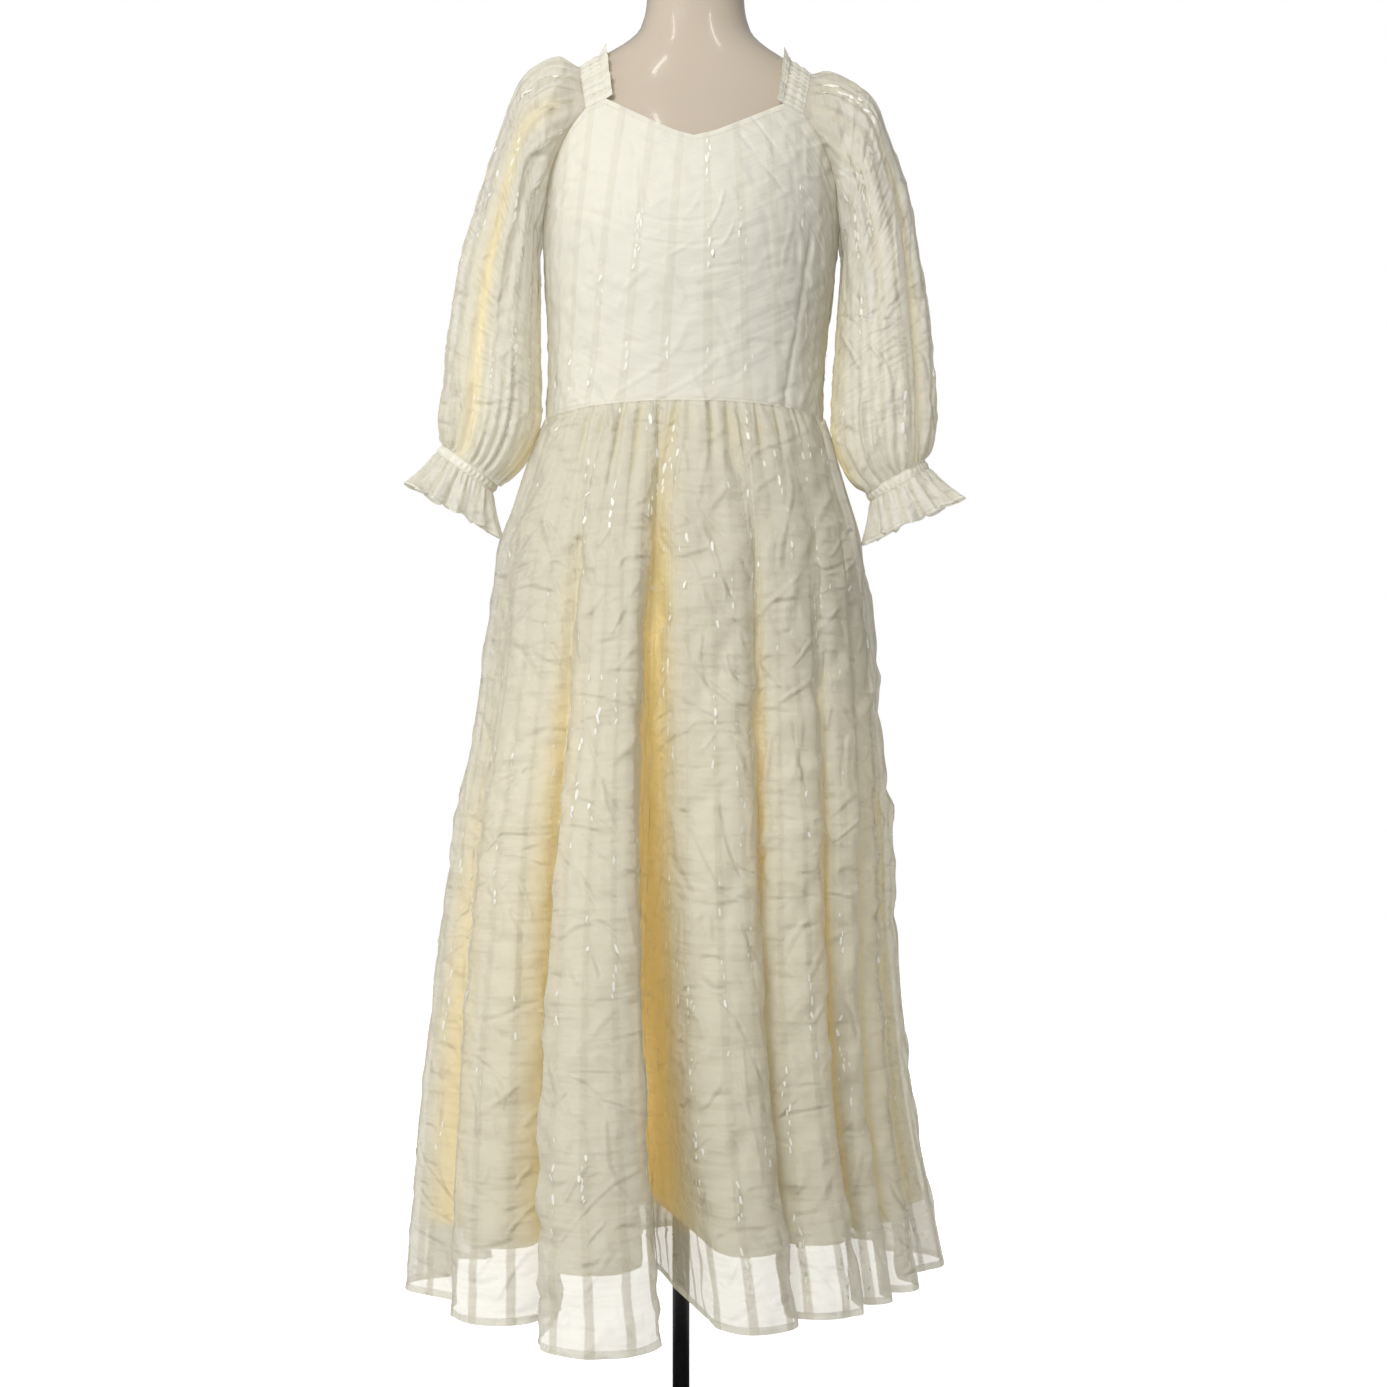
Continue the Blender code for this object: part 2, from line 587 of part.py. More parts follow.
def band_points(across, along, lift=0.0):
    """The band's surface as points for the +X side, moved out by lift."""
    x, angle, radius = band_surface(across, along)
    y = BAND_CENTRE_Y + (radius + lift) * np.sin(angle)
    z = BAND_CENTRE_Z + (radius + lift) * np.cos(angle)
    return np.stack(np.broadcast_arrays(x, y, z), axis=-1)


def build_band(name, side, finish):
    """Elastic band over the shoulder, with a frill that stands up on its neck side."""
    along = np.linspace(BAND_END, 1.0 - BAND_END, BAND_COLUMNS)[None, :]
    wave = np.cos(2 * math.pi * FRILL_WAVES * along)
    across = np.array((-1.0, 0.02, 0.50, 0.98))[:, None]
    frill = np.array((1.0, 0.0, 0.0, 0.0))[:, None]
    fade = ease(np.minimum(along, 1 - along) / 0.05)
    lift = frill * (FRILL_RISE + FRILL_WAVE * wave) * (0.4 + 0.6 * fade)
    points = band_points(across, along, lift) * np.array((side, 1.0, 1.0))
    points = lean(points)
    inner = wall_inside(points, False, inside=(side * BAND_MIDDLE_X, BAND_CENTRE_Y, BAND_CENTRE_Z))
    bodice = bodice_points()
    bodice_wall = wall_inside(bodice, True) - bodice
    corner = BODICE_SHARES.index(BAND_FROM)
    for end_column, middle, direction in ((0, BODICE_FRONT_COLUMN, side),
                                          (-1, BODICE_BACK_COLUMN, -side)):
        ends = [middle + int(direction) * near for near in (corner, corner + 1)]
        inner[:, end_column] = points[:, end_column] + bodice_wall[-1, ends].mean(axis=0)
    cloth_wall(name, points, inner, finish)


def armhole_shares():
    """The bodice's columns that end on the armhole, from the underarm up."""
    return np.array([share for share in reversed(BODICE_SHARES) if share >= BAND_TO])


def armhole_loop():
    """The sleeve's sewn edge on the +X side: front armhole up, band over, back armhole down."""
    share = armhole_shares()
    parts = []
    for edge, behind in ((FRONT_EDGE, False), (BACK_EDGE, True)):
        edge_share, edge_x, edge_z = np.array(edge).T
        x, z = np.interp(share, edge_share, edge_x), np.interp(share, edge_share, edge_z)
        turn = math.pi - turn_at(x, z) if behind else turn_at(x, z)
        parts.append(body_surface(BODICE_SECTIONS, turn, z))
    along = np.linspace(0.0, 1.0, BAND_STEPS + 1)[1:-1]
    over = band_points(np.full_like(along, 1.0), along)
    return np.concatenate([parts[0], over, parts[1][::-1][:-1]])


def loop_turns():
    """Angle round the sleeve for each column: 0 at the underarm, forward and over to the back."""
    front = np.linspace(0.0, SLEEVE_FRONT_TURN, len(armhole_shares()))
    over = np.linspace(SLEEVE_FRONT_TURN, 360.0 - SLEEVE_FRONT_TURN, BAND_STEPS + 1)[1:-1]
    return np.radians(np.concatenate([front, over, 360.0 - front[::-1][:-1]]))


def ring_loop(ring, turns):
    """Ellipse through the ring's inner and outer points: inner at 0, forward at 90 degrees."""
    inner = np.array((ring.in_x, ring.middle_y, ring.in_z))
    outer = np.array((ring.out_x, ring.middle_y, ring.out_z))
    forward = np.array((0.0, -ring.half_depth, 0.0))
    half = (inner - outer) / 2
    return (inner + outer) / 2 + np.cos(turns)[:, None] * half + np.sin(turns)[:, None] * forward


def moved_out(points, amount, centre):
    """Points moved by amount away from a centre."""
    away = points - centre
    away = away / np.linalg.norm(away, axis=-1, keepdims=True)
    return points + away * amount[..., None]


def build_sleeve(name, rings, cuff, folds, side, finish):
    """Puffed sleeve from the armhole through its rings to the cuff."""
    turns = loop_turns()
    start = lean(armhole_loop() * np.array((side, 1.0, 1.0)))
    rows = []
    count = len(rings)
    for index, ring in enumerate(rings):
        loop = ring_loop(ring, turns)
        amount = np.zeros(len(turns))
        for fold in folds:
            middle, half = (fold.first + fold.last) / 2, (fold.last - fold.first) / 2 + 0.5
            reach = np.clip(1 - ((index - middle) / half) ** 2, 0.0, 1.0)
            bend = (np.degrees(turns) - fold.turn) / fold.width
            amount -= fold.depth * reach * np.exp(-bend * bend)
        zigzag = np.where(np.arange(len(turns)) % 2 == 0, 1.0, -1.0)
        head = np.sin(turns / 2) ** 4 * ease(1 - index / 4.0)
        foot = ease((index - count + 4.0) / 3.0)
        amount += zigzag * (HEAD_GATHER * head + CUFF_GATHER * foot)
        centre = loop.mean(axis=0)
        rows.append(moved_out(loop, amount, centre))
    first = rows[0] - start
    start = start + first / np.linalg.norm(first, axis=-1, keepdims=True) * 2 * SEAM_GAP
    points = np.stack([start] + rows + [ring_loop(cuff, turns)])
    cloth_wall(name, points, wall_inside(points, True), finish, closed=True)


def cuff_frame(ring):
    """Centre, the unit vector from inner to outer, and the downward axis of a cuff ring."""
    inner = np.array((ring.in_x, ring.middle_y, ring.in_z))
    outer = np.array((ring.out_x, ring.middle_y, ring.out_z))
    across = (outer - inner) / np.linalg.norm(outer - inner)
    down = np.array((across[2], 0.0, -across[0]))
    if down[2] > 0:
        down = -down
    return (inner + outer) / 2, across, down


def build_cuff(side_name, cuff, edge, finish):
    """Elastic band below the sleeve, and the ruffle that flares from it."""
    _, _, down = cuff_frame(cuff)
    turns = np.arange(CUFF_COLUMNS) * (2 * math.pi / CUFF_COLUMNS)
    ring = ring_loop(cuff, turns)
    band = np.stack([ring + down * drop for drop in (SEAM_GAP, CUFF_WIDTH)])
    cloth_wall("cuff_band_" + side_name, band, wall_inside(band, True), finish, closed=True)

    columns = RUFFLE_WAVES * 4
    turns = np.arange(columns) * (2 * math.pi / columns)
    top = ring_loop(cuff, turns) + down * (CUFF_WIDTH + SEAM_GAP)
    bottom = ring_loop(edge, turns)
    rows = []
    for fall in np.linspace(0.0, 1.0, RUFFLE_ROWS):
        loop = top * (1 - fall) + bottom * fall
        uneven = 1.0 + 0.35 * np.sin(3 * turns + 1.1) + 0.2 * np.sin(5 * turns)
        wave = RUFFLE_WAVE * fall ** 1.3 * uneven * np.cos(RUFFLE_WAVES * turns)
        rows.append(moved_out(loop, wave, loop.mean(axis=0)))
    ruffle = np.stack(rows)
    cloth_wall("cuff_ruffle_" + side_name, ruffle, wall_inside(ruffle, True), finish, closed=True)


def hem_columns():
    """Plan of the hem and the waist angle of each column: the valley before a lobe, then its tip."""
    crests = np.array([(lobe.crest_x, lobe.crest_y) for lobe in LOBES])
    valleys = np.array([(lobe.valley_x, lobe.valley_y) for lobe in LOBES])
    width = np.array([lobe.width for lobe in LOBES])[:, None]
    crest_turn = np.array([lobe.crest_turn for lobe in LOBES])
    valley_turn = np.array([lobe.valley_turn for lobe in LOBES])
    valleys_before = np.roll(valleys, 1, axis=0)
    first_lobe = np.arange(len(LOBES)) == 0
    crest_turn_before = np.roll(crest_turn, 1) - 360.0 * first_lobe
    valley_turn_before = np.roll(valley_turn, 1) - 360.0 * first_lobe
    axis = crests - (valleys_before + valleys) / 2
    axis = axis / np.linalg.norm(axis, axis=1, keepdims=True)
    side = np.stack([-axis[:, 1], axis[:, 0]], axis=1)
    along = crests - np.roll(crests, 1, axis=0)
    along = along / np.linalg.norm(along, axis=1, keepdims=True)
    places, turns = [], []
    for point in VALLEY:
        places.append(valleys_before + VALLEY_WIDTH * along * point.across)
        toward = crest_turn if point.across > 0 else crest_turn_before
        turns.append(valley_turn_before + (toward - valley_turn_before) * point.turn)
    for point in TIP:
        places.append(crests + width * (side * point.across - axis * point.back))
        toward = valley_turn if point.across > 0 else valley_turn_before
        turns.append(crest_turn + (toward - crest_turn) * point.turn)
    count = len(LOBES) * COLUMNS_PER_LOBE
    return np.stack(places, axis=1).reshape(count, 2), np.radians(np.stack(turns, axis=1).reshape(count))


def skirt_base(turn, share):
    """Plan of the skirt without its folds."""
    centre, half_width, front, back, _ = np.moveaxis(smooth_rows(share, SKIRT_SECTIONS), -1, 0)
    x, y = ring_point(half_width, front, back, turn)
    return np.stack([x + centre, y], axis=-1)


def skirt_points(share, gathered):
    """Outer points of the whole skirt: the base plan plus each section's part of the hem's folds."""
    hem, turn = hem_columns()
    turn = turn[None, :]
    share = np.asarray(share, dtype=float)[:, None]
    folds = smooth_rows(share, SKIRT_SECTIONS)[..., 4:5]
    plan = skirt_base(turn, share) + folds * (hem - skirt_base(turn, np.ones_like(share)))
    column = np.arange(turn.shape[1])
    if gathered:
        middle = np.abs(np.cos(turn))
        size = GATHER_SIDE + (GATHER_FRONT - GATHER_SIDE) * middle ** 0.7
        size = size * (0.75 + 0.25 * np.sin(1.7 * column)) * (column % 2)
        size = size * np.clip((np.abs(column - ZIP_COLUMN) - 1) / 2.0, 0.0, 1.0)
        window = (1 - ease(share / GATHER_LENGTH)) * (0.35 + 0.65 * ease(share / 0.03))
        plan = plan + (size * window)[..., None] * np.stack([np.sin(turn), -np.cos(turn)], axis=-1)
    lift = DEEP_VALLEY_LIFT * np.exp(-((column - DEEP_VALLEY_COLUMN) / 1.5) ** 2)
    z = waist_height(turn) * (1 - share) + share * (HEM_Z + lift[None, :]) - SEAM_GAP / 2
    return np.concatenate([plan, z[..., None]], axis=-1)


def plan_inward(points):
    """How far each point of a ring moves in plan for a wall one unit inside it."""
    plan = middle_direction(points * np.array((1.0, 1.0, 0.0)), 1, True)
    length = np.linalg.norm(plan, axis=-1, keepdims=True)
    inward = np.stack([-plan[..., 1], plan[..., 0], np.zeros(plan.shape[:-1])], axis=-1)
    return inward / length / np.maximum(length, SHARPEST_BEND)


def build_skirt(finish):
    """Front from side seam to side seam, and two backs that part for the zip."""
    outer = skirt_points(SKIRT_SHARES, True)
    inner = wall_inside(outer, True)
    front_end = FRONT_LOBES * COLUMNS_PER_LOBE
    whole = len(LOBES) * COLUMNS_PER_LOBE
    seam = SEAM_GAP / 2
    along_zip = np.array(SKIRT_SHARES) < ZIP_END_SHARE + 0.001
    back_gap = np.where(along_zip, ZIP_HALF_WIDTH + SEAM_GAP, seam)
    for name, first, last, gaps in (
            ("skirt_front", 0, front_end, (seam, seam)),
            ("skirt_back_right", front_end, ZIP_COLUMN, (seam, back_gap)),
            ("skirt_back_left", ZIP_COLUMN, whole, (back_gap, seam))):
        panel = [trimmed(points, first, last, gaps) for points in (outer, inner)]
        cloth_wall(name, *panel, finish)


def build_lining(finish):
    """Shorter lining inside the skirt, which follows its folds a few millimetres behind it."""
    points = skirt_points(LINING_SHARES, False)
    deepening = ease(np.array(LINING_SHARES) / LINING_INSET_SHARE)
    inset = LINING_TOP_INSET + (LINING_INSET - LINING_TOP_INSET) * deepening
    outer = points + plan_inward(points) * inset[:, None, None]
    inner = wall_inside(outer, True)
    front_end = FRONT_LOBES * COLUMNS_PER_LOBE
    whole = len(LOBES) * COLUMNS_PER_LOBE
    gaps = (SEAM_GAP / 2, SEAM_GAP / 2)
    for name, first, last in (("lining_front", 0, front_end), ("lining_back", front_end, whole)):
        panel = [trimmed(points, first, last, gaps) for points in (outer, inner)]
        cloth_wall(name, *panel, finish)


def centre_back():
    """Outer points of the dress on the centre back line, from the skirt's hem up to the back edge."""
    skirt = skirt_points(SKIRT_SHARES, False)[:, ZIP_COLUMN]
    return np.concatenate([skirt[::-1], bodice_points()[1:, BODICE_BACK_COLUMN]])


def build_zip(tape, metal):
    """Chain between the back panels, slider near its top, and the pull tab hung on the slider."""
    line = centre_back()
    top = line[-1, 2] - ZIP_TOP_DROP
    bottom = WAIST_Z - ZIP_END_SHARE * (WAIST_Z - HEM_Z) + ZIP_BOTTOM_RISE
    between = line[(line[:, 2] > bottom) & (line[:, 2] < top), 2]
    height = np.concatenate([[bottom], between, [top]])
    chain = np.stack([np.interp(height, line[:, 2], line[:, k]) for k in range(3)], axis=-1)
    chain[:, 1] -= ZIP_SINK
    across = np.array((-1.0, 0.0, 1.0)) * ZIP_HALF_WIDTH
    points = chain[:, None, :] + across[None, :, None] * np.array((1.0, 0.0, 0.0))
    inner = wall_inside(points, False, ZIP_WALL, inside=(0.0, 0.0, WAIST_Z))
    cloth_wall("zip_chain", points, inner, tape)

    below, above = line[-2], line[-1]
    drop = (above[2] - top + SLIDER_DROP) / (above[2] - below[2])
    mount = bpy.data.objects.new("slider_seat", None)
    mount.location = above + (below - above) * drop
    mount.rotation_euler = (-math.atan2(above[1] - below[1], above[2] - below[2]), 0.0, 0.0)
    bpy.context.scene.collection.objects.link(mount)
    build_slider(mount, metal)
    build_pull(mount, metal)


def prism(name, outline, half_width, mount):
    """Solid from an outline in the YZ plane, thick along X, hung on the slider's seat."""
    shape = bmesh.new()
    sides = [[shape.verts.new((x, y, z)) for y, z in outline] for x in (-half_width, half_width)]
    for i in range(len(outline)):
        after = (i + 1) % len(outline)
        shape.faces.new((sides[0][i], sides[0][after], sides[1][after], sides[1][i]))
    shape.faces.new(sides[0])
    shape.faces.new(sides[1])
    bmesh.ops.recalc_face_normals(shape, faces=shape.faces)
    mesh = bpy.data.meshes.new(name)
    shape.to_mesh(mesh)
    shape.free()
    made = bpy.data.objects.new(name, mesh)
    bpy.context.scene.collection.objects.link(made)
    made.parent = mount
    return made


def build_slider(mount, metal):
    """Slider body joined with the arched bridge that holds the pull tab."""
    back = SLIDER_LIFT
    face = back + SLIDER_THICKNESS
    end = SLIDER_LENGTH / 2
    body = [(back, -end), (face, -end), (face, end), (back, end)]
    slider = prism("zip_slider", body, SLIDER_WIDTH / 2, mount)
    slider.data.materials.append(metal)
    half, bar, rise = BRIDGE_LENGTH / 2, BRIDGE_BAR, face + BRIDGE_RISE
    sink = face - BRIDGE_SINK
    arch = [(sink, -half), (rise - bar, -half), (rise, -half + bar), (rise, half - bar),
            (rise - bar, half), (sink, half), (sink, half - bar), (rise - bar, half - bar),
            (rise - bar, -half + bar), (sink, -half + bar)]
    bridge = prism("slider_bridge", arch, BRIDGE_WIDTH / 2, mount)
    bridge.hide_render = True
    bridge.display_type = "WIRE"
    join = slider.modifiers.new("Bridge", "BOOLEAN")
    join.operation = "UNION"
    join.object = bridge


def build_pull(mount, metal):
    """Pull tab: a plate whose window lets the bridge through, its top bar on the hinge's axis."""
    half, inside = TAB_WIDTH / 2, TAB_WIDTH / 2 - TAB_SIDE
    bar = TAB_THICKNESS / 2
    shoulder, tip = -TAB_LENGTH * 0.62, half * 0.55
    outer = [(-half, bar), (-half, shoulder), (-tip, -TAB_LENGTH), (tip, -TAB_LENGTH),
             (half, shoulder), (half, bar)]
    hole = [(-inside, -bar), (-inside, -TAB_WINDOW), (-inside / 2, -TAB_WINDOW),
            (inside / 2, -TAB_WINDOW), (inside, -TAB_WINDOW), (inside, -bar)]
    pull = outline_solid("zip_pull", outer, hole, TAB_THICKNESS, metal)
    pull.parent = mount
    pull.location = (0.0, SLIDER_LIFT + SLIDER_THICKNESS + HINGE_RISE, 0.0)


def main():
    """Clear the scene and build every piece."""
    for old in list(bpy.data.objects):
        bpy.data.objects.remove(old, do_unlink=True)
    organza = material("cream organza", (0.80, 0.75, 0.62), 0.55)
    lining = material("yellow cream lining", (0.78, 0.66, 0.38), 0.60)
    plastic = material("beige plastic", (0.66, 0.54, 0.46), 0.18)
    black = material("black metal", (0.02, 0.02, 0.02), 0.35, 0.6)
    tape = material("cream zip tape", (0.76, 0.70, 0.56), 0.60)
    metal = material("painted metal", (0.78, 0.72, 0.58), 0.35, 0.4)
    build_form(plastic)
    build_stand(black)
    build_bodice(organza)
    for side_name, side, rings, cuff, edge, folds in (
            ("left", -1.0, LEFT_SLEEVE, LEFT_CUFF, LEFT_RUFFLE_EDGE, LEFT_FOLDS),
            ("right", 1.0, RIGHT_SLEEVE, RIGHT_CUFF, RIGHT_RUFFLE_EDGE, RIGHT_FOLDS)):
        build_band("shoulder_band_" + side_name, side, organza)
        build_sleeve("sleeve_" + side_name, rings, cuff, folds, side, organza)
        build_cuff(side_name, cuff, edge, organza)
    build_skirt(organza)
    build_lining(lining)
    build_zip(tape, metal)


main()
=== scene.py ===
"""The looks of a cream organza maxi dress on a limbless dress form.

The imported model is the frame. Each cloth piece is a thin sheet on the form of its solid, worked out
again here from the same named sizes with finer steps, and then gathered, folded and crinkled. Metres,
+Z up, the front faces -Y. An angle round the body is 0 at the centre front and 90 degrees at +X.

Each sheet has a UV map in metres: U runs across the cloth and V up from the piece's free edge, so that
stripes, weave and hems keep their real sizes and follow the cloth.
"""

import math
from collections import namedtuple

import bpy
import numpy as np
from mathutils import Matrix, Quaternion, Vector


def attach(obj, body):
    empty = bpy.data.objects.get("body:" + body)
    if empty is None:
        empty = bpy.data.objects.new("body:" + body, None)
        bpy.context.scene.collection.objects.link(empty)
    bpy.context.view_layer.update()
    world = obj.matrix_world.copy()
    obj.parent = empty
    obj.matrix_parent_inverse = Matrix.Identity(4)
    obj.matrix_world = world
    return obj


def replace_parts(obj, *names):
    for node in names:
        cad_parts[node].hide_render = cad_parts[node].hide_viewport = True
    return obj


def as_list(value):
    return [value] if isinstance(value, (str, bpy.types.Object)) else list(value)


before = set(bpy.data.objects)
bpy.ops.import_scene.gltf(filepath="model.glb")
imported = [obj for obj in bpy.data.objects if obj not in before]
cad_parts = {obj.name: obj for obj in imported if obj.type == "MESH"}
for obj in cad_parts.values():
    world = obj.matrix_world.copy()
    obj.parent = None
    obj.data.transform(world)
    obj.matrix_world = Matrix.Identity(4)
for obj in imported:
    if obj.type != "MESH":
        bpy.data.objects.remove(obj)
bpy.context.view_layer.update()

bl_info = {
    "name": "Organza dress on a form",
    "version": (1, 0, 0),
    "blender": (4, 5, 0),
    "location": "3D Viewport > Sidebar > Dress",
    "description": "Builds the finished surfaces of a cream organza dress and its form",
    "category": "Add Mesh",
}

CLOTH_BODY = "dress_and_form"

# Sizes shared with the solids
WALL = 0.0014
SEAM_GAP = 0.0003
WAIST_Z = 1.1145
WAIST_SIDE_DROP = 0.011
HEM_Z = 0.18
LINING_SHARE = 0.921
ROUNDNESS = 0.889
SHARPEST_BEND = 0.6

# The form and what carries it
FORM_BOTTOM_Z = 0.800
FORM_STEPS = 120
FORM_RIM_INSET = 0.0015
BASE_RADIUS = 0.160
BASE_THICKNESS = 0.010
HUB_RADIUS = 0.024
HUB_TOP_Z = 0.040
POLE_RADIUS = 0.0092
FLANGE_RADIUS = 0.036
FLANGE_THICKNESS = 0.006
RIM_ROUND = 0.004
AXIS_RADIUS = 0.0004

# How the upper body sways to +X with height, and how far its shoulders drop towards +X
Sway = namedtuple("Sway", "z shift")
SWAY = (
    Sway(0.800, 0.0000),
    Sway(0.950, 0.0010),
    Sway(1.115, 0.0043),
    Sway(1.280, 0.0100),
    Sway(1.450, 0.0150),
    Sway(1.600, 0.0158),
)
SHOULDER_TILT = 0.028
TILT_HEIGHT = 0.235

# Level sections of the form and of the bodice's outer surface
Section = namedtuple("Section", "z half_width front back")
FORM_SECTIONS = (
    Section(0.800, 0.1440, 0.0900, 0.1000),
    Section(0.812, 0.1540, 0.0970, 0.1080),
    Section(0.850, 0.1620, 0.1020, 0.1150),
    Section(0.920, 0.1660, 0.1050, 0.1180),
    Section(1.000, 0.1560, 0.1010, 0.1080),
    Section(1.060, 0.1400, 0.0960, 0.0960),
    Section(1.115, 0.1300, 0.0930, 0.0900),
    Section(1.150, 0.1320, 0.0960, 0.0920),
    Section(1.200, 0.1390, 0.1060, 0.0950),
    Section(1.250, 0.1470, 0.1190, 0.1010),
    Section(1.300, 0.1515, 0.1260, 0.1055),
    Section(1.350, 0.1540, 0.1190, 0.1110),
    Section(1.400, 0.1580, 0.0990, 0.1120),
    Section(1.430, 0.1600, 0.0830, 0.1050),
    Section(1.445, 0.1560, 0.0745, 0.0960),
    Section(1.460, 0.1450, 0.0670, 0.0860),
    Section(1.475, 0.1230, 0.0605, 0.0765),
    Section(1.490, 0.0985, 0.0555, 0.0690),
    Section(1.503, 0.0770, 0.0520, 0.0630),
    Section(1.515, 0.0630, 0.0495, 0.0585),
    Section(1.530, 0.0560, 0.0480, 0.0550),
    Section(1.560, 0.0515, 0.0480, 0.0520),
    Section(1.594, 0.0505, 0.0480, 0.0510),
    Section(1.600, 0.0470, 0.0445, 0.0475),
)
BODICE_SECTIONS = (
    Section(1.090, 0.1468, 0.1085, 0.1040),
    Section(1.115, 0.1465, 0.1080, 0.1035),
    Section(1.150, 0.1465, 0.1100, 0.1030),
    Section(1.200, 0.1490, 0.1170, 0.1040),
    Section(1.250, 0.1535, 0.1270, 0.1070),
    Section(1.300, 0.1570, 0.1320, 0.1110),
    Section(1.350, 0.1590, 0.1250, 0.1165),
    Section(1.400, 0.1630, 0.1050, 0.1175),
    Section(1.430, 0.1655, 0.0890, 0.1105),
    Section(1.450, 0.1655, 0.0780, 0.1000),
)

# Top edges of the bodice from its centre line out to the underarm: share of the half panel's
# columns, distance from the centre line, height. The band is sewn on between shares 0.56 and 0.66.
Edge = namedtuple("Edge", "share x z")
FRONT_EDGE = (
    Edge(0.00, 0.0000, 1.3860),
    Edge(0.14, 0.0220, 1.3925),
    Edge(0.28, 0.0450, 1.4035),
    Edge(0.56, 0.0920, 1.4285),
    Edge(0.66, 0.1130, 1.4190),
    Edge(0.78, 0.1350, 1.3880),
    Edge(0.89, 0.1505, 1.3500),
    Edge(0.96, 0.1565, 1.3200),
    Edge(1.00, 0.1700, 1.2970),
)
BACK_EDGE = (
    Edge(0.00, 0.0000, 1.4120),
    Edge(0.14, 0.0230, 1.4128),
    Edge(0.28, 0.0460, 1.4155),
    Edge(0.56, 0.0920, 1.4285),
    Edge(0.66, 0.1130, 1.4190),
    Edge(0.78, 0.1370, 1.3850),
    Edge(0.89, 0.1515, 1.3470),
    Edge(0.96, 0.1570, 1.3180),
    Edge(1.00, 0.1700, 1.2970),
)
BAND_FROM, BAND_TO = 0.56, 0.66
BAND_MIDDLE_X = 0.113

# Shoulder bands, over the form from the front corner to the back corner
BAND_CENTRE_Y, BAND_CENTRE_Z = 0.005, 1.380
BAND_CLEAR = 0.0005
BAND_BOW = 0.010
BAND_END = 0.0016
BAND_PUFF = 0.0026
BAND_SINK = 0.0004
BAND_PLEATS = 27
FRILL_WIDTH = 0.007
FRILL_RISE = 0.0065
FRILL_WAVE = 0.00286
FRILL_WAVES = 9
FRILL_PLEAT = 0.0024

# The form lies between these distances from the band's centre line, and is found by halving
NEAREST_FORM, FARTHEST_FORM = 0.02, 0.16
HALVINGS = 40

# Sleeves: each ring's outer and inner point as seen from the front, its half depth and middle
Ring = namedtuple("Ring", "out_x out_z in_x in_z half_depth middle_y")
LEFT_SLEEVE = (
    Ring(-0.1360, 1.4880, -0.1500, 1.2940, 0.092, 0.004),
    Ring(-0.1700, 1.4640, -0.1520, 1.2820, 0.094, 0.003),
    Ring(-0.1915, 1.4150, -0.1510, 1.2550, 0.091, 0.001),
    Ring(-0.2150, 1.3460, -0.1505, 1.2200, 0.083, -0.002),
    Ring(-0.2345, 1.2820, -0.1500, 1.1820, 0.082, -0.006),
    Ring(-0.2470, 1.2130, -0.1490, 1.1420, 0.079, -0.010),
    Ring(-0.2545, 1.1420, -0.1500, 1.1060, 0.073, -0.014),
    Ring(-0.2580, 1.1050, -0.1560, 1.0820, 0.063, -0.017),
    Ring(-0.2555, 1.0860, -0.1740, 1.0530, 0.050, -0.019),
)
RIGHT_SLEEVE = (
    Ring(0.1640, 1.4720, 0.1710, 1.2880, 0.092, 0.004),
    Ring(0.2020, 1.4480, 0.1720, 1.2760, 0.094, 0.003),
    Ring(0.2200, 1.4080, 0.1700, 1.2500, 0.091, 0.001),
    Ring(0.2420, 1.3460, 0.1670, 1.2140, 0.083, -0.002),
    Ring(0.2540, 1.2780, 0.1640, 1.1740, 0.082, -0.006),
    Ring(0.2640, 1.2080, 0.1610, 1.1340, 0.079, -0.010),
    Ring(0.2700, 1.1300, 0.1600, 1.0960, 0.073, -0.014),
    Ring(0.2690, 1.0900, 0.1650, 1.0700, 0.063, -0.017),
    Ring(0.2640, 1.0700, 0.1790, 1.0420, 0.050, -0.019),
)
LEFT_CUFF = Ring(-0.2536, 1.0767, -0.1937, 1.0340, 0.0362, -0.020)
RIGHT_CUFF = Ring(0.2589, 1.0607, 0.1960, 1.0254, 0.0362, -0.020)
LEFT_RUFFLE_EDGE = Ring(-0.2868, 1.0329, -0.1969, 0.9815, 0.0540, -0.024)
RIGHT_RUFFLE_EDGE = Ring(0.2952, 1.0180, 0.2000, 0.9740, 0.0560, -0.024)
CUFF_WIDTH = 0.0100
CUFF_PLEATS = 36
CUFF_PUFF = 0.0011
RUFFLE_WAVES = 14
RUFFLE_WAVE = 0.008125
RUFFLE_PLEAT = 0.0015
RUFFLE_DIP = 0.0013
RUFFLE_SPREAD = 2.3

# Heights above the free edge in the UV maps: the sleeve lies above its cuff, the cuff band above its
# ruffle from top to bottom, and the ruffle's shift leaves it a narrower hem
SLEEVE_UP = 0.05
CUFF_UP = (0.030, 0.020)
RUFFLE_UP, RUFFLE_HEM_SHIFT = (0.055, 0.0), 0.0035

# Angle from the underarm to the band's front corner, and ripples at the head and above the cuff
SLEEVE_FRONT_TURN = 100.0
HEAD_GATHER, HEAD_GATHERS = 0.00405, 30
CUFF_GATHER, CUFF_GATHERS = 0.0030, 24

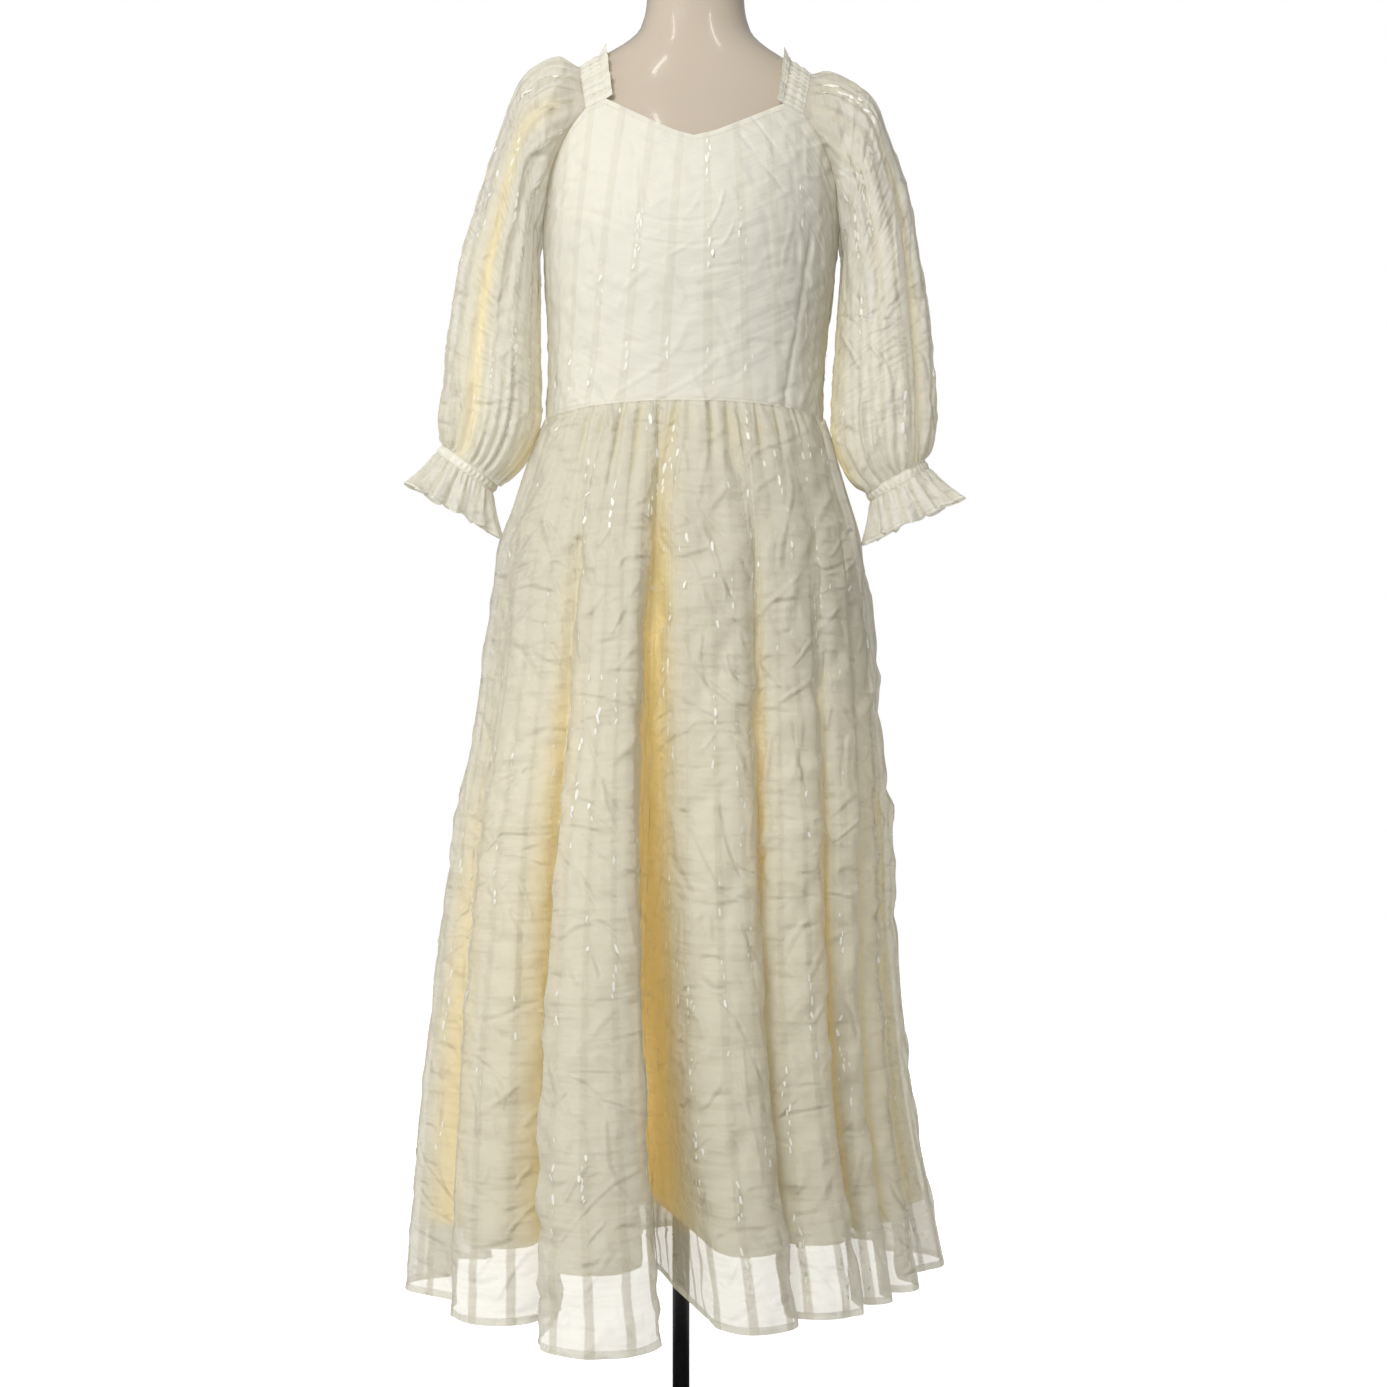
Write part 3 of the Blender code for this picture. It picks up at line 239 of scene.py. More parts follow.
# Long folds of the sleeves: the angle round the sleeve from the underarm forward, the reach of the
# fold over the sleeve's rings and its depth (a trough is positive)
Fold = namedtuple("Fold", "turn width first last depth")
LEFT_FOLDS = (
    Fold(108.0, 21.0, 0, 9, 0.020),
    Fold(146.0, 9.0, 0, 6, 0.007),
    Fold(74.0, 10.0, 0, 5, 0.009),
    Fold(215.0, 14.0, 1, 7, 0.011),
    Fold(262.0, 13.0, 2, 8, 0.008),
)
RIGHT_FOLDS = (
    Fold(136.0, 12.0, 2, 9, 0.014),
    Fold(88.0, 11.0, 0, 4, 0.009),
    Fold(118.0, 11.0, 0, 3, 0.006),
    Fold(222.0, 14.0, 1, 7, 0.011),
    Fold(268.0, 12.0, 2, 8, 0.007),
)

# The two sides: their sign along X and the seed of their crinkles
Side = namedtuple("Side", "name sign rings cuff ruffle_edge folds seed")
SIDES = (
    Side("left", -1.0, LEFT_SLEEVE, LEFT_CUFF, LEFT_RUFFLE_EDGE, LEFT_FOLDS, 3),
    Side("right", 1.0, RIGHT_SLEEVE, RIGHT_CUFF, RIGHT_RUFFLE_EDGE, RIGHT_FOLDS, 7),
)

# Skirt: level sections by share of the length, and how much of the hem's folds each one has
SkirtSection = namedtuple("SkirtSection", "share centre_x half_width front back folds")
SKIRT_SECTIONS = (
    SkirtSection(0.00, 0.0043, 0.1465, 0.1080, 0.1035, 0.00),
    SkirtSection(0.07, 0.0020, 0.1650, 0.1220, 0.1280, 0.04),
    SkirtSection(0.14, 0.0005, 0.1840, 0.1340, 0.1480, 0.08),
    SkirtSection(0.23, -0.0010, 0.1970, 0.1480, 0.1650, 0.14),
    SkirtSection(0.35, -0.0045, 0.2080, 0.1600, 0.1800, 0.21),
    SkirtSection(0.44, -0.0085, 0.2180, 0.1690, 0.1900, 0.33),
    SkirtSection(0.62, -0.0145, 0.2290, 0.1830, 0.2080, 0.57),
    SkirtSection(0.81, -0.0140, 0.2430, 0.1950, 0.2270, 0.80),
    SkirtSection(1.00, -0.0040, 0.2620, 0.2050, 0.2450, 1.00),
)
LINING_TOP_INSET = WALL + SEAM_GAP
LINING_INSET = 0.0050
LINING_INSET_SHARE = 0.06

# The hem's lobes from the left side seam round the front: the crest's angle at the waist, its place
# and width at the hem, and the same for the valley after it
Lobe = namedtuple("Lobe", "crest_turn crest_x crest_y width valley_turn valley_x valley_y")
LOBES = (
    Lobe(-82.0, -0.285, 0.005, 0.060, -65.0, -0.230, -0.066),
    Lobe(-44.0, -0.192, -0.165, 0.084, -29.5, -0.122, -0.098),
    Lobe(-20.0, -0.079, -0.293, 0.104, -6.5, -0.030, 0.030),
    Lobe(8.0, 0.082, -0.205, 0.075, 19.7, 0.105, -0.075),
    Lobe(29.0, 0.152, -0.148, 0.068, 44.0, 0.180, -0.055),
    Lobe(53.0, 0.205, -0.080, 0.028, 60.0, 0.208, -0.033),
    Lobe(70.0, 0.241, -0.026, 0.034, 82.0, 0.230, 0.038),
    Lobe(95.0, 0.283, 0.130, 0.075, 110.0, 0.222, 0.165),
    Lobe(124.0, 0.205, 0.222, 0.075, 137.0, 0.130, 0.178),
    Lobe(150.0, 0.100, 0.285, 0.080, 165.0, 0.048, 0.192),
    Lobe(180.0, 0.000, 0.295, 0.080, 195.0, -0.052, 0.188),
    Lobe(210.0, -0.115, 0.276, 0.085, 224.0, -0.150, 0.168),
    Lobe(236.0, -0.212, 0.200, 0.075, 247.0, -0.212, 0.122),
    Lobe(256.0, -0.274, 0.088, 0.060, 266.0, -0.246, 0.046),
)

# Columns of a lobe, first the valley before it and then its tip: shares of the width across and back
# from the valley's or crest's place, and the share of the waist angle from there to the next one
Column = namedtuple("Column", "across back turn")
VALLEY = (
    Column(-0.5, 0.0, 0.14),
    Column(0.5, 0.0, 0.14),
)
TIP = (
    Column(-0.50, 0.30, 0.55),
    Column(-0.29, 0.08, 0.27),
    Column(0.00, 0.00, 0.0),
    Column(0.29, 0.08, 0.27),
    Column(0.50, 0.30, 0.55),
)
VALLEY_WIDTH = 0.016
COLUMNS_PER_LOBE = 7
FRONT_LOBES = 7
ZIP_COLUMN = 10 * COLUMNS_PER_LOBE + 4
DEEP_VALLEY_COLUMN = 3 * COLUMNS_PER_LOBE + 0.5
DEEP_VALLEY_LIFT = 0.011

# Hidden zip at the centre back
ZIP_HALF_WIDTH = 0.0017
ZIP_SINK = 0.0001
ZIP_END_SHARE = 0.16
ZIP_TOP_DROP = 0.004
ZIP_BOTTOM_RISE = 0.003
ZIP_ROWS = 240

# Steps of the finished sheets, which are finer than the solids'
SKIRT_STEPS = 10
SKIRT_ROWS = 150
LINING_STEPS = 5
LINING_ROWS = 90
BODICE_COLUMNS = 72
BODICE_FINE_ROWS = 96
BAND_FINE_COLUMNS = 420
BAND_FINE_ROWS = 37
SLEEVE_COLUMNS = 280
SLEEVE_STEPS = 14
CUFF_FINE_COLUMNS = 392
CUFF_FINE_ROWS = 13
RUFFLE_FINE_ROWS = 22
ARMHOLE_SHARES = (1.0, 0.96, 0.925, 0.89, 0.84, 0.78, 0.72, 0.66)

# Gathers at the waist: many short ones all round, and the long ones seen in front, each by its
# distance from the pole's plane to +X, its length down the skirt and the share of depth it takes
Gather = namedtuple("Gather", "x length depth")
FRONT_GATHERS = (
    Gather(-0.118, 0.060, 0.5),
    Gather(-0.090, 0.110, 0.9),
    Gather(-0.074, 0.070, 0.7),
    Gather(-0.057, 0.140, 1.0),
    Gather(-0.0385, 0.160, 1.0),
    Gather(-0.020, 0.050, 0.6),
    Gather(-0.003, 0.130, 0.9),
    Gather(0.0096, 0.060, 0.7),
    Gather(0.030, 0.100, 0.7),
    Gather(0.047, 0.150, 1.0),
    Gather(0.058, 0.060, 0.6),
    Gather(0.076, 0.120, 0.9),
    Gather(0.095, 0.090, 0.8),
    Gather(0.116, 0.050, 0.5),
)
GATHER_COUNT = 36
GATHER_SHORT, SHORT_DEPTH, SHORT_WIDTH = 0.060, 0.35, 0.35
GATHER_WIDTH = 0.024
GATHER_FADE = 1.25
PUFF_FRONT, PUFF_SIDE = 0.0085, 0.0030
PUFF_DROP = 0.24
PUFF_START, PUFF_RISE = 0.40, 0.022
ZIP_CLEAR_TURN = 0.10

# Straight creases pressed into the cloth: tilt from the crosswise threads in degrees and direction
CREASE_TILTS = ((28.0, 1.0), (-34.0, -1.0), (62.0, -1.0), (-58.0, 1.0), (84.0, 1.0))
CREASE_PITCH = 0.052
CREASE_WIDTH = 0.0070

# Fine creases of the cloth's finish: directions of the planes that cut it, the shift of the pattern
# from one to the next, their step and their half width
PLANE_SHIFT = (0.31, 0.17, 0.0)
CREASE_PLANES = ((0.80, 0.30, 0.52), (-0.62, 0.35, 0.70), (0.12, 0.20, 0.97), (0.97, -0.15, 0.18))
CREASE_STEP = 0.034
CREASE_HALF = 0.0062

# Uneven waves: how many go round, how high they are, and the angle at which each starts
Wave = namedtuple("Wave", "count height start")
GATHER_DRIFT = (Wave(3, 0.9, 0.0), Wave(7, 1.3, 1.0), Wave(17, 0.8, 0.0))
GATHER_REACH = (Wave(5, 0.5, 1.0), Wave(11, 0.3, 0.0))
CUFF_DRIFT = (Wave(5, 1.6, 0.0),)
RUFFLE_SIZE = (Wave(3, 0.35, 1.1), Wave(5, 0.2, 0.0))
RUFFLE_DRIFT = (Wave(2, 0.9, 0.4), Wave(3, 0.5, 0.0))
RUFFLE_DIPS = (Wave(RUFFLE_WAVES, 1.0, 0.6), Wave(5, 0.8, 0.0), Wave(23, 0.5, 0.0))

# Relief of the finished sheets over the solids' own shape: smooth noises by their height, size across
# and along the cloth and seed, and the heights of the creases
Swell = namedtuple("Swell", "height across along seed")
BODICE_SWELL = Swell(0.0016, 0.050, 0.075, 11)
BODICE_GATHER = Swell(0.0012, 0.007, 0.050, 13)
SKIRT_SWELL = Swell(0.0060, 0.100, 0.34, 21)
SKIRT_RIDGE = Swell(0.0016, 0.052, 0.15, 22)
SKIRT_PATCH = Swell(0.7, 0.13, 0.20, 27)
HEM_DIP = Swell(0.0022, 0.060, 0.50, 24)
LINING_SWELL = Swell(0.0022, 0.060, 0.30, 31)
SLEEVE_SWELL = Swell(0.0045, 0.045, 0.16, 40)
CREASE_WANDER = Swell(0.9, 0.090, 0.110, 0)
CREASE_PATCH = Swell(1.0, 0.042, 0.050, 1)
BODICE_CREASE, SKIRT_CREASE, SLEEVE_CREASE = 0.0011, 0.0040, 0.0015
BODICE_SINK, SKIRT_STAND = 0.0003, 0.0022
SLEEVE_GIRTH = 0.54
BUST_Z = 1.28

# Painted yellow shade, standing in for shade and for light let through the layers: how much on the sleeve's
# side towards the bodice, within an angle, in the sleeve's deep folds, in the skirt's folds, and how many
# columns from the deep fold it has fallen to a half
INNER_PAINTED_SHADE, INNER_PAINTED_SHADE_TURN = 0.55, 34.0
FOLD_PAINTED_SHADE = 0.8
PAINTED_SHADE_COLUMNS = 3.5
PAINTED_SHADE_REACHES = (4, 8, 16)

# Bust darts, by their point and their foot on the waist seam, then their line and the soft ridges
# beside it, and the side seams
Dart = namedtuple("Dart", "top_x top_z foot_x foot_z")
DARTS = (
    Dart(-0.0950, 1.3040, -0.0815, 1.1220),
    Dart(0.1380, 1.3040, 0.1085, 1.1220),
)
DART_SINK, DART_WIDTH = 0.0016, 0.0018
RIDGE_RISE, RIDGE_AWAY, RIDGE_WIDTH = 0.0007, 0.006, 0.004
SEAM_SINK, SEAM_WIDTH = 0.0010, 0.0016

# Rows of shirring, as shares of the band's width and of the cuff band's width, and how far the other
# stitches lie from their edges
BAND_STITCH_ROWS = (0.08, 0.50, 0.92)
CUFF_STITCH_ROWS = (0.12, 0.88)
NECK_STITCH, HEM_STITCH, LINING_STITCH = 0.0065, 0.0068, 0.0080
THREAD_HALF_WIDTH, THREAD_OUT = 0.00024, 0.00020

# What each sheet was cut to before it was gathered and sewn: width, length and area
Cut = namedtuple("Cut", "width length area")
CUTS = {
    "bodice_front": Cut(0.46, 0.34, 0.13),
    "bodice_back": Cut(0.24, 0.34, 0.065),
    "shoulder_band": Cut(0.30, 0.034, 0.0100),
    "sleeve": Cut(0.56, 0.50, 0.22),
    "cuff_band": Cut(0.26, 0.012, 0.0031),
    "cuff_ruffle": Cut(0.46, 0.046, 0.020),
    "skirt_front": Cut(1.60, 0.95, 1.20),
    "skirt_back": Cut(0.85, 0.95, 0.55),
    "lining_front": Cut(1.50, 0.87, 1.00),
    "lining_back": Cut(1.40, 0.87, 0.90),
}

# A small bead, for stitches, teeth and flecks: two tips and two rings of four points, flat below
BEAD = np.array([
    (0, -1, 0), (0.75, -0.55, 0), (0, -0.55, 1), (-0.75, -0.55, 0), (0, -0.55, -0.4),
    (0.75, 0.55, 0), (0, 0.55, 1), (-0.75, 0.55, 0), (0, 0.55, -0.4), (0, 1, 0),
], dtype=float)
BEAD_FACES = np.array([
    (0, 1, 2), (0, 2, 3), (0, 3, 4), (0, 4, 1), (1, 5, 6), (1, 6, 2), (2, 6, 7), (2, 7, 3),
    (3, 7, 8), (3, 8, 4), (4, 8, 5), (4, 5, 1), (9, 6, 5), (9, 7, 6), (9, 8, 7), (9, 5, 8),
])
ZIP_TOOTH_PITCH = 0.0013
TOOTH_SIZE = (0.00085, 0.00052, 0.00042)
TOOTH_ASIDE, TOOTH_SINK = 0.00045, 0.0003

# Flecks: how many make a run, how far apart, how much they stray, and how near an edge they come
RUN_LENGTH, RUN_PITCH = 4, 0.0125
STRAY_ACROSS, STRAY_ALONG = 0.0024, 0.0022
FLECK_TILT = 0.16
FLECK_SCALES = (0.4, 1.25)
FLECK_HALF_HEIGHT, FLECK_LIFT = 0.00010, 0.0002
CLEAR_BELOW, CLEAR_ABOVE, CLEAR_BESIDE = 0.012, 0.006, 0.003

# Points inside the bodice and the skirt, by which their outer side is told
BODICE_INSIDE = (0.008, 0.0, 1.25)
SKIRT_INSIDE = (0.0, 0.0, 0.60)

# Hard finishes: shade of their second colour, gloss and its spread, scale and depth of their mottle
Finish = namedtuple("Finish", "shade rough spread scale depth metallic coat")
FINISHES = {
    "glossy form": Finish(0.97, 0.20, 0.05, 9.0, 0.00012, 0.0, 0.6),
    "satin black": Finish(2.2, 0.42, 0.20, 60.0, 0.00010, 0.2, 0.0),
    "cream enamel": Finish(0.92, 0.28, 0.12, 900.0, 0.00003, 0.35, 0.3),
    "pale floor": Finish(0.985, 0.9, 0.05, 2.0, 0.0002, 0.0, 0.0),
}

# Organza: how far stripes, hems and the folds with painted yellow shade close its gaps, the faint painted
# glow of the folds, and the gloss of the stripes. Lining: share of light that goes through.
STRIPE_COVER, HEM_COVER, PAINTED_FOLD_COVER = 0.60, 0.93, 0.97
PAINTED_FOLD_GLOW = 0.15
ORGANZA_ROUGHNESS, STRIPE_GLOSS = 0.62, 0.18
LINING_TRANSLUCENCE = 0.45

# Both organzas: share of light that goes through the threads, strength of the crinkles, and shade
Organza = namedtuple("Organza", "translucence crinkle shade")
SHEER = Organza(0.36, 1.0, 1.0)
BACKED = Organza(0.20, 0.40, 0.91)

# Area lights: place, what they face, width and height, turn about their own axis and spread in
# degrees, and the setting of their power; a strip's power is its glow for each square metre
Lamp = namedtuple("Lamp", "name place aim size twist spread setting")
LAMPS = (
    Lamp("key", (-0.80, -2.20, 2.30), (0.0, 0.0, 0.95), (1.0, 1.0), 0.0, 125.0, "key_power"),
    Lamp("fill", (-2.4, -1.1, 1.3), (0.0, 0.0, 0.8), (1.6, 1.6), 0.0, 180.0, "fill_power"),
    Lamp("back", (0.8, 2.4, 2.2), (0.0, 0.0, 0.9), (1.4, 1.4), 0.0, 180.0, "back_power"),
    Lamp("strip_left", (-0.90, -1.66, 2.95), (0.0, -0.05, 1.53), (0.06, 1.1), -30.0, 180.0, "strip_glow"),
    Lamp("strip_right", (0.66, -1.80, 2.90), (0.0, -0.05, 1.53), (0.06, 1.1), 0.0, 180.0, "strip_glow"),
    Lamp("strip_above", (-0.36, -1.17, 3.55), (0.0, -0.06, 1.46), (0.05, 0.40), 19.0, 180.0, "strip_glow"),
)
INNER_LAMPS = (0.42, 0.66, 0.90)
FLOOR_RADIUS, FLOOR_CORNERS = 4.5, 96
FLOOR_SEEN_GLOW = 0.85
CAMERA_X = 0.0134


def ease(x):
    """Smooth step from 0 to 1 as x goes from 0 to 1."""
    x = np.clip(x, 0.0, 1.0)
    return x * x * (3.0 - 2.0 * x)


def bell(x):
    """1 at 0, falling to 0 on both sides as exp(-x squared)."""
    return np.exp(-x * x)


def unit(vectors):
    """The vectors at length one."""
    return vectors / np.linalg.norm(vectors, axis=-1, keepdims=True)


def waved(turn, waves):
    """Sum of the table's sines at an angle."""
    return sum(wave.height * np.sin(wave.count * turn + wave.start) for wave in waves)


def smooth_rows(x, rows):
    """The table's other columns at x, by cubics whose slopes come from the neighbouring rows."""
    table = np.array(rows, dtype=float)
    knots, values = table[:, 0], table[:, 1:]
    slopes = np.gradient(values, knots, axis=0)
    x = np.clip(np.asarray(x, dtype=float), knots[0], knots[-1])
    row = np.clip(np.searchsorted(knots, x, side="right") - 1, 0, len(knots) - 2)
    step = (knots[row + 1] - knots[row])[..., None]
    s = (x - knots[row])[..., None] / step
    from_start = values[row] * (1 + 2 * s) * (1 - s) ** 2 + slopes[row] * step * s * (1 - s) ** 2
    from_end = values[row + 1] * s * s * (3 - 2 * s) + slopes[row + 1] * step * s * s * (s - 1)
    return from_start + from_end


def ring_point(half_width, front, back, turn):
    """Superellipse: x = half_width sin^p, y = -front cos^p ahead and back |cos|^p behind."""
    sine, cosine = np.sin(turn), np.cos(turn)
    depth = np.where(cosine > 0, front, back)
    x = half_width * np.sign(sine) * np.abs(sine) ** ROUNDNESS
    y = -depth * np.sign(cosine) * np.abs(cosine) ** ROUNDNESS
    return x, y


def body_surface(sections, turn, z):
    """Point of a body whose level sections are the table's superellipses."""
    half_width, front, back = np.moveaxis(smooth_rows(z, sections), -1, 0)
    x, y = ring_point(half_width, front, back, turn)
    return np.stack(np.broadcast_arrays(x, y, z), axis=-1)


def lean(points):
    """Shift to +X by the sway at each height, and lower by the tilt times the distance to +X."""
    x, y, z = np.moveaxis(np.asarray(points, dtype=float), -1, 0)
    shift = smooth_rows(z, SWAY)[..., 0]
    tilt = SHOULDER_TILT * ease((z - WAIST_Z) / TILT_HEIGHT)
    return np.stack([x + shift, y, z - x * tilt], axis=-1)


def waist_height(turn):
    """The waist seam is highest at the centre front and back and drops to the sides."""
    return WAIST_Z - WAIST_SIDE_DROP * np.sin(turn) ** 2


def middle_direction(points, axis, closed):
    """Mean of the unit directions of the two steps that meet at each point along an axis.

    Its length is the cosine of half the bend there.
    """
    ahead = unit(np.roll(points, -1, axis=axis) - points if closed else np.diff(points, axis=axis))
    if closed:
        return (ahead + np.roll(ahead, 1, axis=axis)) / 2
    first, last = np.take(ahead, [0], axis=axis), np.take(ahead, [-1], axis=axis)
    return (np.concatenate([first, ahead], axis=axis) + np.concatenate([ahead, last], axis=axis)) / 2


def turn_at(x, z):
    """Angle at which the bodice's section at height z reaches x."""
    half_width = smooth_rows(z, BODICE_SECTIONS)[..., 0]
    return np.arcsin(np.clip(x / half_width, 0.0, 1.0) ** (1.0 / ROUNDNESS))


def form_radius(x, angle):
    """Distance from the band's centre line to the form, leaning by angle from the vertical to +Y.

    A point is inside where |x / half width|^p + |y / depth|^p < 1, and the distance at which that
    ends is found by halving.
    """
    shape = np.broadcast(x, angle).shape
    near, far = np.full(shape, NEAREST_FORM), np.full(shape, FARTHEST_FORM)
    power = 2.0 / ROUNDNESS
    for _ in range(HALVINGS):
        middle = (near + far) / 2
        y = BAND_CENTRE_Y + middle * np.sin(angle)
        z = BAND_CENTRE_Z + middle * np.cos(angle)
        half_width, front, back = np.moveaxis(smooth_rows(z, FORM_SECTIONS), -1, 0)
        depth = np.where(y < 0, front, back)
        inside = np.abs(x / half_width) ** power + np.abs(y / depth) ** power < 1.0
        near, far = np.where(inside, middle, near), np.where(inside, far, middle)
    return (near + far) / 2


def band_surface(across, along):
    """Outer surface of the band: across 0 at the neck side to 1 at the sleeve, along 0 front to 1."""
    ends = []
    for edge, behind in ((FRONT_EDGE, False), (BACK_EDGE, True)):
        edge_share, edge_x, edge_z = np.array(edge).T
        share = BAND_FROM + (BAND_TO - BAND_FROM) * np.clip(across, 0.0, 1.0)
        x, z = np.interp(share, edge_share, edge_x), np.interp(share, edge_share, edge_z)
        turn = math.pi - turn_at(x, z) if behind else turn_at(x, z)
        point = body_surface(BODICE_SECTIONS, turn, z)
        y = point[..., 1]
        angle = np.arctan2(y - BAND_CENTRE_Y, z - BAND_CENTRE_Z)
        radius = np.hypot(y - BAND_CENTRE_Y, z - BAND_CENTRE_Z)
        ends.append((x, angle, radius - form_radius(x, angle)))
    (x0, angle0, off0), (x1, angle1, off1) = ends
    x = x0 + (x1 - x0) * along + BAND_BOW * np.sin(math.pi * along)
    x = x - FRILL_WIDTH * np.clip(-across, 0.0, 1.0)
    angle = angle0 + (angle1 - angle0) * along
    rest = BAND_CLEAR + WALL
    end_off = np.where(along < 0.5, off0, off1)
    off = rest + (end_off - rest) * np.abs(2 * along - 1) ** 6
    radius = form_radius(x, angle) + off
    return x, angle, radius


def band_points(across, along, lift=0.0):
    """The band's surface as points for the +X side, moved out by lift."""
    x, angle, radius = band_surface(across, along)
    y = BAND_CENTRE_Y + (radius + lift) * np.sin(angle)
    z = BAND_CENTRE_Z + (radius + lift) * np.cos(angle)
    return np.stack(np.broadcast_arrays(x, y, z), axis=-1)


def ring_loop(ring, turns):
    """Ellipse through the ring's inner and outer points: inner at 0, forward at 90 degrees."""
    inner = np.array((ring.in_x, ring.middle_y, ring.in_z))
    outer = np.array((ring.out_x, ring.middle_y, ring.out_z))
    forward = np.array((0.0, -ring.half_depth, 0.0))
    half = (inner - outer) / 2
    return (inner + outer) / 2 + np.cos(turns)[:, None] * half + np.sin(turns)[:, None] * forward


def moved_out(points, amount, centre):
    """Points moved by amount away from a centre."""
    return points + unit(points - centre) * amount[..., None]


def cuff_down(ring):
    """Unit vector down the arm: square to the line from a cuff ring's inner to its outer point."""
    across = unit(np.array((ring.out_x - ring.in_x, 0.0, ring.out_z - ring.in_z)))
    down = np.array((across[2], 0.0, -across[0]))
    return -down if down[2] > 0 else down


def hem_columns():
    """Plan of the hem and the waist angle of each column: the valley before a lobe, then its tip."""
    crest_turn, crest_x, crest_y, width, valley_turn, valley_x, valley_y = np.array(LOBES).T
    crests, valleys = np.stack([crest_x, crest_y], axis=1), np.stack([valley_x, valley_y], axis=1)
    valleys_before = np.roll(valleys, 1, axis=0)
    first_lobe = np.arange(len(LOBES)) == 0
    crest_turn_before = np.roll(crest_turn, 1) - 360.0 * first_lobe
    valley_turn_before = np.roll(valley_turn, 1) - 360.0 * first_lobe
    axis = unit(crests - (valleys_before + valleys) / 2)
    side = np.stack([-axis[:, 1], axis[:, 0]], axis=1)
    along = unit(crests - np.roll(crests, 1, axis=0))
    places, turns = [], []
    for point in VALLEY:
        places.append(valleys_before + VALLEY_WIDTH * along * point.across)
        toward = crest_turn if point.across > 0 else crest_turn_before
        turns.append(valley_turn_before + (toward - valley_turn_before) * point.turn)
    for point in TIP:
        places.append(crests + width[:, None] * (side * point.across - axis * point.back))
        toward = valley_turn if point.across > 0 else valley_turn_before
        turns.append(crest_turn + (toward - crest_turn) * point.turn)
    count = len(LOBES) * COLUMNS_PER_LOBE
    return np.stack(places, axis=1).reshape(count, 2), np.radians(np.stack(turns, axis=1).reshape(count))


def skirt_base(turn, share):
    """Plan of the skirt without its folds."""
    centre, half_width, front, back, _ = np.moveaxis(smooth_rows(share, SKIRT_SECTIONS), -1, 0)
    x, y = ring_point(half_width, front, back, turn)
    return np.stack([x + centre, y], axis=-1)


def plan_inward(points):
    """How far each point of a ring moves in plan for a wall one unit inside it."""
    plan = middle_direction(points * np.array((1.0, 1.0, 0.0)), 1, True)
    length = np.linalg.norm(plan, axis=-1, keepdims=True)
    inward = np.stack([-plan[..., 1], plan[..., 0], np.zeros(plan.shape[:-1])], axis=-1)
    return inward / length / np.maximum(length, SHARPEST_BEND)


def round_through(points, steps, closed, axis):
    """Smooth curve through rows of points along an axis.

    Between two points it is a cubic whose end slopes have the mean direction of the two steps that
    meet there and the length of the shorter one, so a corner is rounded and a long side stays straight.
    """
    points = np.moveaxis(points, axis, 0)
    start = points if closed else points[:-1]
    end = np.roll(points, -1, axis=0) if closed else points[1:]
    length = np.linalg.norm(end - start, axis=-1, keepdims=True)
    direction = unit(middle_direction(points, 0, closed))
    if closed:
        reach = np.minimum(length, np.roll(length, 1, axis=0))
    else:
        reach = np.minimum(np.concatenate([length[:1], length]), np.concatenate([length, length[-1:]]))
    slope = direction * reach
    leave = slope if closed else slope[:-1]
    arrive = np.roll(slope, -1, axis=0) if closed else slope[1:]
    s = (np.arange(steps) / steps).reshape((1, steps) + (1,) * (points.ndim - 1))
    start, end, leave, arrive = [part[:, None] for part in (start, end, leave, arrive)]
    curve = start * (1 + 2 * s) * (1 - s) ** 2 + leave * s * (1 - s) ** 2
    curve = curve + end * s * s * (3 - 2 * s) + arrive * s * s * (s - 1)
    curve = curve.reshape((-1,) + points.shape[1:])
    if not closed:
        curve = np.concatenate([curve, points[-1:]])
    return np.moveaxis(curve, 0, axis)


def cloth_noise(u, v, seed):
    """Smooth noise from 0 to 1: random values at whole numbers of u and v, eased between them."""
    lattice = np.random.default_rng(seed).random((64, 64))
    column, row = np.floor(u).astype(int), np.floor(v).astype(int)
    s, t = ease(u - column), ease(v - row)
    low = lattice[row % 64, column % 64] * (1 - s) + lattice[row % 64, (column + 1) % 64] * s
    high = lattice[(row + 1) % 64, column % 64] * (1 - s) + lattice[(row + 1) % 64, (column + 1) % 64] * s
    return low * (1 - t) + high * t


def swelled(u, v, swell, seed=0, size=1.0):
    """Smooth noise of the table, from 0 to its height."""
    across, along = swell.across * size, swell.along * size
    return swell.height * cloth_noise(u / across, v / along, swell.seed + seed)


def creased(u, v, seed, size=1.0):
    """Short straight creases in five directions, from -1 where they go in to 1 where they stand out.

    The lines of one direction are parallel, unevenly spaced, and come and go with a noise.
    """
    total = np.zeros(np.broadcast(u, v).shape)
    for number, (tilt, direction) in enumerate(CREASE_TILTS):
        angle = math.radians(tilt)
        wander = swelled(u, v, CREASE_WANDER, seed + 2 * number, size)
        place = (u * math.sin(angle) + v * math.cos(angle)) / (CREASE_PITCH * size) + wander
        away = np.abs(place - np.round(place)) * CREASE_PITCH * size
        here = swelled(u, v, CREASE_PATCH, seed + 2 * number, size)
        total = total + direction * bell(away / (CREASE_WIDTH * size)) * ease((here - 0.48) / 0.2)
    return np.clip(total, -1.0, 1.0)


def fold_depth(points, reaches, full, inside):
    """0 to 1 by how far each point of a ring lies inside the chord between two neighbours.

    The neighbours are a reach of columns away on both sides, and the deepest of the reaches counts.
    """
    normal = grid_normals(points, True, np.array(inside))
    depth = np.zeros(points.shape[:2])
    for reach in reaches:
        chord = (np.roll(points, reach, axis=1) + np.roll(points, -reach, axis=1)) / 2
        depth = np.maximum(depth, np.sum((chord - points) * normal, axis=-1))
    return ease(depth / full)


def around(values, reach, pick):
    """Largest, smallest or summed value of a ring within reach columns on both sides."""
    found = values.copy()
    for step in range(1, reach + 1):
        found = pick(found, pick(np.roll(values, step, axis=1), np.roll(values, -step, axis=1)))
    return found


